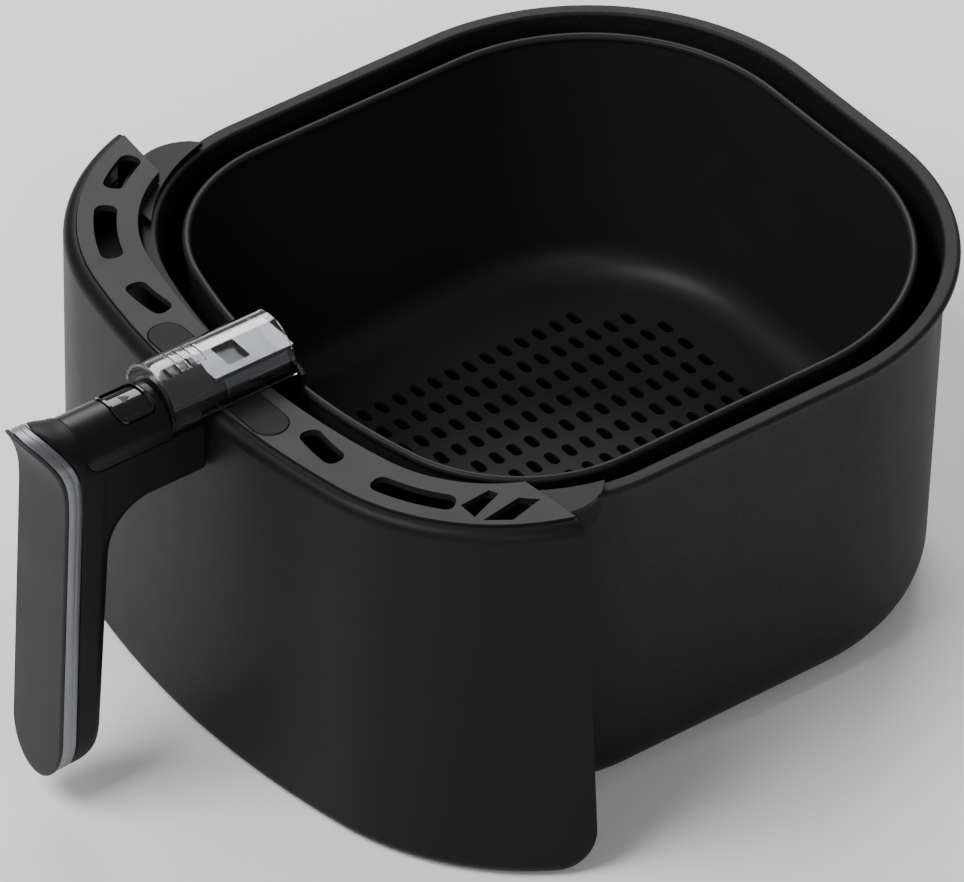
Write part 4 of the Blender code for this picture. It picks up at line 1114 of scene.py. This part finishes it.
def shell_between(
    outer: Sequence[Sequence[Point]], inner: Sequence[Sequence[Point]]
) -> bmesh.types.BMesh:
    """A closed shell between two grids with the same rows and columns.

    Args:
        outer: rows of points of one skin.
        inner: rows of points of the other.

    Returns:
        The new bmesh.
    """
    bm = bmesh.new()
    grids = [[[bm.verts.new(p) for p in row] for row in skin] for skin in (outer, inner)]
    first, second = grids
    rows, columns = len(outer), len(outer[0])
    for grid in grids:
        for i in range(rows - 1):
            for j in range(columns - 1):
                bm.faces.new((grid[i][j], grid[i][j + 1], grid[i + 1][j + 1], grid[i + 1][j]))
    for j in range(columns - 1):
        for i in (0, rows - 1):
            bm.faces.new((first[i][j], first[i][j + 1], second[i][j + 1], second[i][j]))
    for i in range(rows - 1):
        for j in (0, columns - 1):
            bm.faces.new((first[i][j], first[i + 1][j], second[i + 1][j], second[i][j]))
    bmesh.ops.recalc_face_normals(bm, faces=bm.faces)
    return bm


def band(near: Sequence[Flat], far: Sequence[Flat], low: float, high: float) -> bmesh.types.BMesh:
    """A flat strip between two plan lines with the same number of points.

    Args:
        near: one line.
        far: the other.
        low: Z of the underside.
        high: Z of the top.

    Returns:
        The new bmesh, in quads from line to line.
    """
    skins = [[[(x, y, z) for x, y in line] for line in (near, far)] for z in (high, low)]
    return shell_between(skins[0], skins[1])


def rounded_rectangle(
    half_x: float, half_y: float, radius: float, centre: Flat = (0.0, 0.0)
) -> list[Flat]:
    """A rectangle with round corners.

    Args:
        half_x: half its width.
        half_y: half its height.
        radius: corner radius.
        centre: its middle.

    Returns:
        The outline.
    """
    points: list[Flat] = []
    for quarter, (u, v) in enumerate(((1, 1), (-1, 1), (-1, -1), (1, -1))):
        middle = (centre[0] + u * (half_x - radius), centre[1] + v * (half_y - radius))
        points += arc(middle, radius, quarter * math.pi / 2, (quarter + 1) * math.pi / 2, 8)
    return points


def half_round(radius: float, axis_z: float, low_z: float, steps: int = 48) -> list[Flat]:
    """A half-round section (x, z) with straight sides down to low_z."""
    crown = arc((0.0, axis_z), radius, 0.0, math.pi, steps)
    return [(radius, low_z)] + crown + [(-radius, low_z)]


@dataclass
class Grip:
    """The upright grip: face plate, silver strip, and the moulded shell with the lower arm."""

    half: float = 13.8 * MM
    front: float = -214.0 * MM
    lean: float = 0.058
    lean_from: float = -8.0 * MM
    lip: float = 8.5 * MM
    lip_from: float = -2.0 * MM
    lip_height: float = 22.0 * MM
    bottom: float = -124.5 * MM
    toe: float = 18.5 * MM
    toe_tuck: float = 6.0 * MM
    crown_axis: float = 9.0 * MM
    crown_sink: float = 3.2 * MM
    face: float = 1.6 * MM
    face_crown: float = 0.5 * MM
    crown_fade: float = 6.0 * MM
    trim: float = 5.6 * MM
    shell_inset: float = 0.6 * MM
    back: float = -191.8 * MM
    back_lean: float = 0.078
    back_r: float = 5.5 * MM
    split: float = 4.7 * MM
    cover_front: float = -203.5 * MM
    cover_r: float = 13.0 * MM
    cover_axis: float = RIM_Z + 6.0 * MM
    cover_corner: float = 6.0 * MM
    arm_half: float = 13.1 * MM
    arm_floor: float = RIM_Z - 16.5 * MM
    arm_root: float = -155.7 * MM
    arm_r: float = 5.0 * MM
    throat_r: float = 17.0 * MM
    throat_depth: float = 11.0 * MM
    voxel: float = 0.55 * MM

    def front_at(self, height: float) -> float:
        """Y of the grip's front line at a height above the basket's rim."""
        lean = self.lean * max(0.0, self.lean_from - height)
        lip = self.lip * (max(0.0, height - self.lip_from) / self.lip_height) ** 2
        return self.front - lean - lip

    def back_at(self, height: float) -> float:
        """Y of the grip's rear line at a height above the basket's rim."""
        if height > self.split:
            return self.cover_front - GAP
        toe = self.bottom + self.toe * 0.7
        tuck = 0.0
        if height < toe:
            tuck = self.toe_tuck * ((toe - height) / (toe - self.bottom)) ** 2
        return self.back + self.back_lean * min(0.0, height) - tuck

    def outline(self, inset: float) -> list[Flat]:
        """The grip seen from the front: oval toe, straight sides, round crown.

        Args:
            inset: how far the outline is moved inwards.

        Returns:
            (x, height) points, the same number for every inset.
        """
        half, toe = self.half - inset, self.toe - inset
        toe_z = self.bottom + self.toe
        curve_steps, side_steps = 20, 44
        right = []
        for i in range(curve_steps + 1):
            a = math.radians(-90 + 90 * i / curve_steps)
            right.append((half * math.cos(a), toe_z + toe * math.sin(a)))
        for i in range(1, side_steps):
            right.append((half, toe_z + (self.crown_axis - toe_z) * i / side_steps))
        right += arc((0.0, self.crown_axis), half, 0.0, math.pi / 2, curve_steps)
        return right + [(-x, h) for x, h in reversed(right[1:-1])]

    def ring(self, inset: float, y_at: Callable[[float], float]) -> list[Point]:
        """The outline placed in space.

        Args:
            inset: how far inwards.
            y_at: Y for a height.

        Returns:
            World points.
        """
        return [(x, y_at(h), RIM_Z + h) for x, h in self.outline(inset)]

    def build(self) -> None:
        """Make face, strip and shell."""
        self._face()
        self._trim()
        self._shell()

    def _face(self) -> None:
        """Slightly crowned face plate with a soft edge."""
        back_insets = (13.5, 12.0, 10.0, 7.5, 5.0, 2.5, 0.9)
        edge = ((0.15, 1.55), (0.0, 1.3), (0.0, 0.45), (0.1, 0.2), (0.35, 0.04))
        front_insets = (0.8, 1.6, 2.8, 4.2, 5.8, 7.6, 9.4, 11.2, 12.6, 13.5)
        loops = [self.ring(i * MM, lambda h: self.front_at(h) + self.face) for i in back_insets]
        for inset, depth in edge:
            loops.append(self.ring(inset * MM, lambda h, d=depth: self.front_at(h) + d * MM))
        for inset in front_insets:
            fade = 1 - (1 - min(1.0, inset * MM / self.crown_fade)) ** 2
            loop = []
            for x, h in self.outline(inset * MM):
                rise = self.face_crown * (1 - (x / self.half) ** 2) * fade
                loop.append((x, self.front_at(h) - rise, RIM_Z + h))
            loops.append(loop)
        face = add_piece("grip_face_plate", loft(loops, zipped=True), FACE_ABS, 60.0)
        place(face, Body.BASKET, FACE_ABS.slot, "grip_face")

    def _trim(self) -> None:
        """Silver strip with a crease along its length."""
        start = self.face + GAP
        section = (
            (2.4, 0.0), (1.0, 0.0), (0.6, 0.12), (0.42, 0.45), (0.36, 3.0), (0.42, 3.2), (0.56, 3.3),
            (0.56, 3.4), (0.44, 3.5), (0.46, 5.2), (0.62, 5.5), (1.0, 5.6), (2.4, 5.6),
        )  # fmt: skip
        loops = []
        for inset, depth in section:
            loops.append(self.ring(inset * MM, lambda h, d=depth: self.front_at(h) + start + d * MM))
        trim = add_piece("grip_silver_strip", loft(loops, closed=True), SILVER, 28.0)
        place(trim, Body.BASKET, SILVER.slot, "grip_trim")

    def _shell_front(self, height: float) -> float:
        """Y of the shell's front, behind plate and strip."""
        return self.front_at(height) + self.face + 2 * GAP + self.trim

    def _shell_point(self, x: float, h: float, share: float) -> Point:
        """One point of the shell's rear rounding.

        Args:
            x: the outline's X.
            h: the outline's height.
            share: 0 where the rounding starts, 1 at the shell's back.

        Returns:
            The world point.
        """
        start, end = self._shell_front(h), self.back_at(h)
        if h > self.split:
            # Above the split the crown sinks to the cover's half-round and meets it square
            ease = share * share * (3 - 2 * share)
            reach = (h - self.split) / (self.half + self.crown_axis - self.split)
            return (x, start + (end - start) * share, RIM_Z + h - self.crown_sink * ease * reach)
        r = min(self.back_r, (end - start) * 0.7)
        tuck = r * (1 - math.cos(share * math.pi / 2))
        short = r * (1 - math.sin(share * math.pi / 2))
        lift = 0.6 * tuck if h < self.bottom + self.toe else 0.0
        return (x - math.copysign(min(tuck, abs(x)), x), end - short, RIM_Z + h + lift)

    def _grip_part(self) -> bmesh.types.BMesh:
        """The shell behind the strip."""
        loops = [self.ring(i * MM, self._shell_front) for i in (13.3, 9.0, 4.0, 1.2)]
        for inset, depth in ((0.8, 0.1), (0.6, 0.45)):
            loops.append(self.ring(inset * MM, lambda h, d=depth: self._shell_front(h) + d * MM))
        steps = 8
        base = self.outline(self.shell_inset)
        for i in range(steps + 1):
            loops.append([self._shell_point(x, h, i / steps) for x, h in base])
        last = loops[-1]
        for share in (0.6, 0.3, 0.05):
            loops.append([(x * share, y, z) for x, y, z in last])
        return loft(loops)

    def _throat(self) -> bmesh.types.BMesh:
        """Concave web between grip and lower arm, with the same rounded edges as both."""
        end = math.pi - math.atan(self.back_lean)
        cz = self.arm_floor - self.throat_r
        cy = self.back_at(cz + self.throat_r * math.sin(end) - RIM_Z) - self.throat_r * math.cos(end)
        r = self.arm_r
        half = self.arm_half - 0.02 * MM
        section = [(half, self.throat_r + self.throat_depth)]
        section += [(x, self.throat_r + r - d) for x, d in arc((half - r, 0.0), r, 0.0, math.pi / 2, 8)]
        section += [(-x, d) for x, d in reversed(section)]
        loops = []
        steps = 24
        for i in range(steps + 1):
            a = math.pi / 2 + (end - math.pi / 2) * i / steps
            loops.append([(x, cy + d * math.cos(a), cz + d * math.sin(a)) for x, d in section])
        return loft(loops)

    def _shell(self) -> None:
        """Grip shell, throat and lower arm in one moulding."""
        low, high = self.arm_floor, RIM_Z + self.split
        r, half = self.arm_r, self.arm_half
        section = [(half, high)] + arc((half - r, low + r), r, 0.0, -math.pi / 2, 8)
        section += arc((-half + r, low + r), r, -math.pi / 2, -math.pi, 8) + [(-half, high)]
        arm = prism(section, self.cover_front - 4 * MM, self.arm_root, "y")
        crown = half_round(self.cover_r, self.cover_axis, high - 4 * MM)
        corner = prism(crown, self.cover_front - 2 * MM, self.cover_front + 6.5 * MM, "y")
        shell = add_piece("handle_moulding", self._grip_part(), BLACK_ABS)
        blend(shell, [arm, self._throat(), corner], self.voxel)
        boolean(shell, [prism(self.cover_side(GAP), -WIDE, WIDE, "x")])
        shell.modifiers.new("weights", "WEIGHTED_NORMAL").keep_sharp = True
        place(shell, Body.BASKET, BLACK_ABS.slot, "handle_body")

    def cover_side(self, grow: float) -> list[Flat]:
        """Side outline (y, z) of the arm's cover, with its rounded lower front corner.

        Args:
            grow: how far the outline is moved outwards.

        Returns:
            The outline.
        """
        front, low = self.cover_front - grow, RIM_Z + self.split + GAP - grow
        back, top = -140.0 * MM, RIM_Z + WIDE
        r = self.cover_corner + grow
        corner = arc((front + r, low + r), r, math.pi, math.pi * 1.5, 12)
        return corner + [(back, low), (back, top), (front, top)]


@dataclass
class ArmTop:
    """Cover, button frame and button on the arm."""

    radius: float = 13.0 * MM
    axis_z: float = RIM_Z + 6.0 * MM
    wall: float = 2.0 * MM
    button_y: float = -179.5 * MM
    button_half: Flat = (7.3 * MM, 6.0 * MM)
    frame: float = 1.1 * MM
    cover_back: float = -169.3 * MM

    def build(self, grip: Grip) -> None:
        """Make cover, frame and button.

        Args:
            grip: the grip, for the cover's side outline.
        """
        self._cover(grip)
        self._frame()
        self._button()

    def _around_button(self, grow: float, radius: float) -> list[Flat]:
        """The button's plan outline, moved outwards.

        Args:
            grow: how far outwards.
            radius: the outline's corner radius.

        Returns:
            The outline.
        """
        half_x, half_y = (half + grow for half in self.button_half)
        return rounded_rectangle(half_x, half_y, radius, (0.0, self.button_y))

    def _cover(self, grip: Grip) -> None:
        """Half-round cover with the opening for the button's frame."""
        low, front = RIM_Z + grip.split + GAP, grip.cover_front
        body = prism(half_round(self.radius, self.axis_z, low), front, self.cover_back, "y")
        cover = add_piece("arm_cover_moulding", body, SATIN_BLACK)
        boolean(cover, [prism(grip.cover_side(0.0), -WIDE, WIDE, "x")], "INTERSECT")
        inner = half_round(self.radius - self.wall, self.axis_z, low - 1 * MM)
        hollow = prism(inner, front + 3 * MM, self.cover_back + 1 * MM, "y")
        rim = self._around_button(self.frame + 2 * GAP, 3.2 * MM)
        opening = prism(rim, self.axis_z + 4 * MM, RIM_Z + WIDE)
        boolean(cover, [hollow, opening])
        round_edges(cover, 0.3 * MM, 3, 40.0)
        place(cover, Body.BASKET, SATIN_BLACK.slot, "arm_cover")

    def _conformal(
        self, name: str, finish: AnyFinish, outline: Sequence[Flat], radius: float, low: float
    ) -> bpy.types.Object:
        """A plate whose outline is seen from above and whose top follows the arm's curve.

        Args:
            name: the piece's name.
            finish: its finish.
            outline: plan outline.
            radius: radius of the top surface.
            low: Z of the flat underside.

        Returns:
            The piece.
        """
        round_bar = arc((0.0, self.axis_z), radius, 0.0, math.tau, 160)[:-1]
        reach = 20.0 * MM
        item = add_piece(name, prism(outline, low, RIM_Z + WIDE), finish)
        boolean(item, [prism(round_bar, self.button_y - reach, self.button_y + reach, "y")], "INTERSECT")
        return item

    def _frame(self) -> None:
        """Raised frame round the button."""
        outer = self._around_button(self.frame + GAP, 3.0 * MM)
        low, top_r = self.axis_z + 7.5 * MM, self.radius + 0.5 * MM
        frame = self._conformal("button_frame", GLOSS_BLACK, outer, top_r, low)
        boolean(frame, [prism(self._around_button(GAP, 2.0 * MM), self.axis_z, RIM_Z + WIDE)])
        round_edges(frame, 0.28 * MM, 3, 40.0)
        place(frame, Body.BASKET, GLOSS_BLACK.slot, "button_bezel")

    def _button(self) -> None:
        """Push button with an etched arrowhead."""
        low, top_r = self.axis_z + 9.2 * MM, self.radius - 0.3 * MM
        cap = self._conformal("push_button", GLOSS_BLACK, self._around_button(0.0, 1.8 * MM), top_r, low)
        round_edges(cap, 0.35 * MM, 3, 40.0)
        place(cap, Body.BUTTON, GLOSS_BLACK.slot, "release_button")
        half, back, tip = 2.2 * MM, self.button_y - 1.6 * MM, self.button_y + 2.0 * MM
        arrow = [(-half, back), (half, back), (0.0, tip)]
        low, top_r = self.axis_z + 11.6 * MM, self.radius - 0.22 * MM
        mark = self._conformal("button_arrowhead", ETCHED, arrow, top_r, low)
        place(mark, Body.BUTTON, ETCHED.slot)


@dataclass
class ArmRoot:
    """What shows through the guard: the dark core, the folded steel bracket and its shoulders."""

    core_r: float = 11.2 * MM
    core_axis: float = RIM_Z + 9.5 * MM
    core_low: float = RIM_Z + 5.0 * MM
    core_under: float = RIM_Z + 9.4 * MM
    rail_r: float = 0.42 * MM
    rail_heights: Flat = (3.1 * MM, 5.5 * MM)
    strap_half: float = 9.0 * MM
    strap_low: float = RIM_Z + 16.4 * MM
    steel: float = 1.5 * MM
    tab_half: float = 15.5 * MM
    tab_low: float = RIM_Z - 28.0 * MM
    tab_shoulder: float = RIM_Z + 9.0 * MM
    rivet_x: float = 9.0 * MM
    rivet_z: float = RIM_Z - 14.0 * MM
    shoulder_r: Flat = (11.85 * MM, 12.55 * MM)
    shoulder_turn: Flat = (6.0, 37.0)
    shoulder_back: float = -120.5 * MM

    def build(self) -> None:
        """Make core, bracket and shoulders."""
        self._core()
        low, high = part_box("basket_bracket")
        self._bracket(low.y, high.y)
        self._shoulders(low.y + 3 * MM)

    def _core(self) -> None:
        """Dark moulding under the guard, with thin rails along its sides."""
        low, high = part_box("arm_core")
        front, back = low.y, high.y
        body = prism(half_round(self.core_r, self.core_axis, self.core_low), front, back, "y")
        core = add_piece("guard_core", body, CORE_BLACK)
        top = RIM_Z + WIDE
        under = block((-WIDE, WIDE), (front + 11.8 * MM, back + 1 * MM), (RIM_Z - 5 * MM, self.core_under))
        seat = block((-WIDE, WIDE), (back - 31 * MM, back + 1 * MM), (self.strap_low - GAP, top))
        hook_way = rounded_rectangle(2.6 * MM, 25 * MM, 0.5 * MM, (-3.0 * MM, front + 12 * MM))
        spring_bed = rounded_rectangle(6.8 * MM, 9 * MM, 0.5 * MM, (0.0, front))
        cuts = [under, seat]
        cuts.append(prism(hook_way, RIM_Z, RIM_Z + 13 * MM))
        cuts.append(prism(spring_bed, RIM_Z, RIM_Z + 14 * MM))
        for distance in (5.0 * MM, 9.5 * MM, 14.0 * MM):
            notch = rounded_rectangle(3.4 * MM, 1.5 * MM, 0.4 * MM, (-1.0 * MM, front + distance))
            cuts.append(prism(notch, RIM_Z + 19.2 * MM, top))
        boolean(core, cuts)
        boolean(core, self._rails(front + 1 * MM, back - 1 * MM), "UNION")
        round_edges(core, 0.25 * MM, 2, 45.0)
        place(core, Body.BASKET, CORE_BLACK.slot, "arm_core")

    def _rails(self, front: float, back: float) -> list[bmesh.types.BMesh]:
        """Two thin round rails on each side of the core.

        Args:
            front: Y of their front ends.
            back: Y of their back ends.

        Returns:
            One mesh per rail.
        """
        reach, slope_r = self.core_r + 0.15 * MM, self.core_r + 0.4 * MM
        rails = []
        for side in (-1, 1):
            for height in self.rail_heights:
                angle = math.asin(height / slope_r)
                centre = (side * reach * math.cos(angle), self.core_axis + reach * math.sin(angle))
                rails.append(prism(arc(centre, self.rail_r, 0.0, math.tau, 12)[:-1], front, back, "y"))
        return rails

    def _bracket(self, front: float, back: float) -> None:
        """Folded steel bracket: riveted tab and flat strap with a window.

        Args:
            front: Y of the strap's front end.
            back: Y of the tab's rear face.
        """
        top = self.strap_low + self.steel
        right = [
            (self.tab_half, self.tab_low), (self.tab_half, self.tab_shoulder),
            (14.0 * MM, self.tab_shoulder + 1.6 * MM), (10.4 * MM, self.tab_shoulder + 2.4 * MM),
            (self.strap_half, self.tab_shoulder + 4 * MM), (self.strap_half, top),
        ]  # fmt: skip
        outline = right + [(-x, z) for x, z in reversed(right)]
        bracket = add_piece("folded_bracket", prism(outline, back - self.steel, back, "y"), STAINLESS)
        middle, half = (0.0, (front + back) / 2), (back - front) / 2
        strap = prism(rounded_rectangle(self.strap_half, half, 1.0 * MM, middle), self.strap_low, top)
        boolean(bracket, [strap], "UNION")
        window = rounded_rectangle(5.5 * MM, 4.5 * MM, 1.0 * MM, (0.0, front + 12.5 * MM))
        cuts = [prism(window, RIM_Z + 10 * MM, RIM_Z + WIDE)]
        for side in (-1, 1):
            hole = arc((side * self.rivet_x, self.rivet_z), 2.1 * MM, 0.0, math.tau, 24)[:-1]
            cuts.append(prism(hole, back - 10 * MM, back + 5 * MM, "y"))
        boolean(bracket, cuts)
        round_edges(bracket, 0.4 * MM, 3, 40.0)
        place(bracket, Body.BASKET, STAINLESS.slot, "basket_bracket")

    def _shoulders(self, front: float) -> None:
        """Two rolled steel shoulders, one each side of the strap.

        Args:
            front: Y of the handle end.
        """
        centre = (0.0, self.core_axis)
        start, end = (math.radians(turn) for turn in self.shoulder_turn)
        inner_r, outer_r = self.shoulder_r
        for side, name in ((-1, "left"), (1, "right")):
            section = arc(centre, outer_r, start, end, 14) + arc(centre, inner_r, end, start, 14)
            section = [(side * x, z) for x, z in section]
            sheet = prism(section, front, self.shoulder_back, "y")
            shoulder = add_piece(f"bracket_shoulder_{name}", sheet, STAINLESS)
            round_edges(shoulder, 0.2 * MM, 2, 50.0)
            place(shoulder, Body.BASKET, STAINLESS.slot)


@dataclass
class Guard:
    """Clear half-tube that slides forward over the button."""

    radius: float = 14.5 * MM
    wall: float = 1.2 * MM
    axis_z: float = RIM_Z + 10.8 * MM
    leg: float = 1.4 * MM
    corner: float = 5.0 * MM
    flare: float = 0.35 * MM
    flare_length: float = 3.0 * MM
    rib_count: int = 4
    rib_start: float = 9.0 * MM
    rib_pitch: float = 3.4 * MM
    rib_width: float = 1.2 * MM
    rib_proud: float = 0.45 * MM
    rib_root: float = 0.5 * MM
    rib_spread: Flat = (68.0, 112.0)

    def _skin(self, depth: float, front: float, back: float) -> list[list[Point]]:
        """One face of the half-tube, with a flared lip and rounded lower front corners.

        Args:
            depth: how far inside the outer face.
            front: Y of the lip.
            back: Y of the rear edge.

        Returns:
            Rows of points from front to back.
        """
        total = self.radius * math.pi + 2 * self.leg
        along, across = 40, 56
        skin = []
        for i in range(along + 1):
            row = []
            for j in range(across + 1):
                s = total * j / across
                near = min(s, total - s)
                lift = 0.0
                if near < self.corner:
                    lift = self.corner - math.sqrt(self.corner**2 - (self.corner - near) ** 2)
                y = front + lift + (back - front - lift) * (i / along) ** 1.3
                flare = self.flare * max(0.0, 1.0 - (y - front) / self.flare_length) ** 2
                r = self.radius - depth + flare
                turn = min(max((s - self.leg) / self.radius, 0.0), math.pi)
                drop = max(self.leg - near, 0.0)
                row.append((r * math.cos(turn), y, self.axis_z + r * math.sin(turn) - drop))
            skin.append(row)
        return skin

    def build(self) -> None:
        """Make the guard with its ribs for the thumb."""
        low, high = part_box("button_guard")
        front, back = low.y, high.y
        skins = [self._skin(depth, front, back) for depth in (0.0, self.wall)]
        guard = add_piece("clear_guard", shell_between(skins[0], skins[1]), CLEAR)
        start, end = (math.radians(turn) for turn in self.rib_spread)
        crown = arc((0.0, self.axis_z), self.radius + self.rib_proud, start, end, 12)
        root = arc((0.0, self.axis_z), self.radius - self.rib_root, end, start, 12)
        ribs = []
        for i in range(self.rib_count):
            y = front + self.rib_start + i * self.rib_pitch
            ribs.append(prism(crown + root, y, y + self.rib_width, "y"))
        boolean(guard, ribs, "UNION")
        round_edges(guard, 0.22 * MM, 2, 50.0)
        place(guard, Body.GUARD, CLEAR.slot, "button_guard")


def main() -> None:
    """Load the frame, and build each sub-assembly."""
    logging.basicConfig(level=logging.INFO, format="%(name)s: %(message)s")
    for item in list(bpy.data.objects):
        bpy.data.objects.remove(item, do_unlink=True)
    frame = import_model()
    Studio().build()
    for finish, names in FINISH_NODES:
        for name in names.split():
            dress_node(frame["nodes"][name], finish)
    Pan().build()
    PanelAndDeck().build()
    Basket().build()
    grip = Grip()
    grip.build()
    ArmTop().build(grip)
    ArmRoot().build()
    Guard().build()


if __name__ == "__main__":
    main()
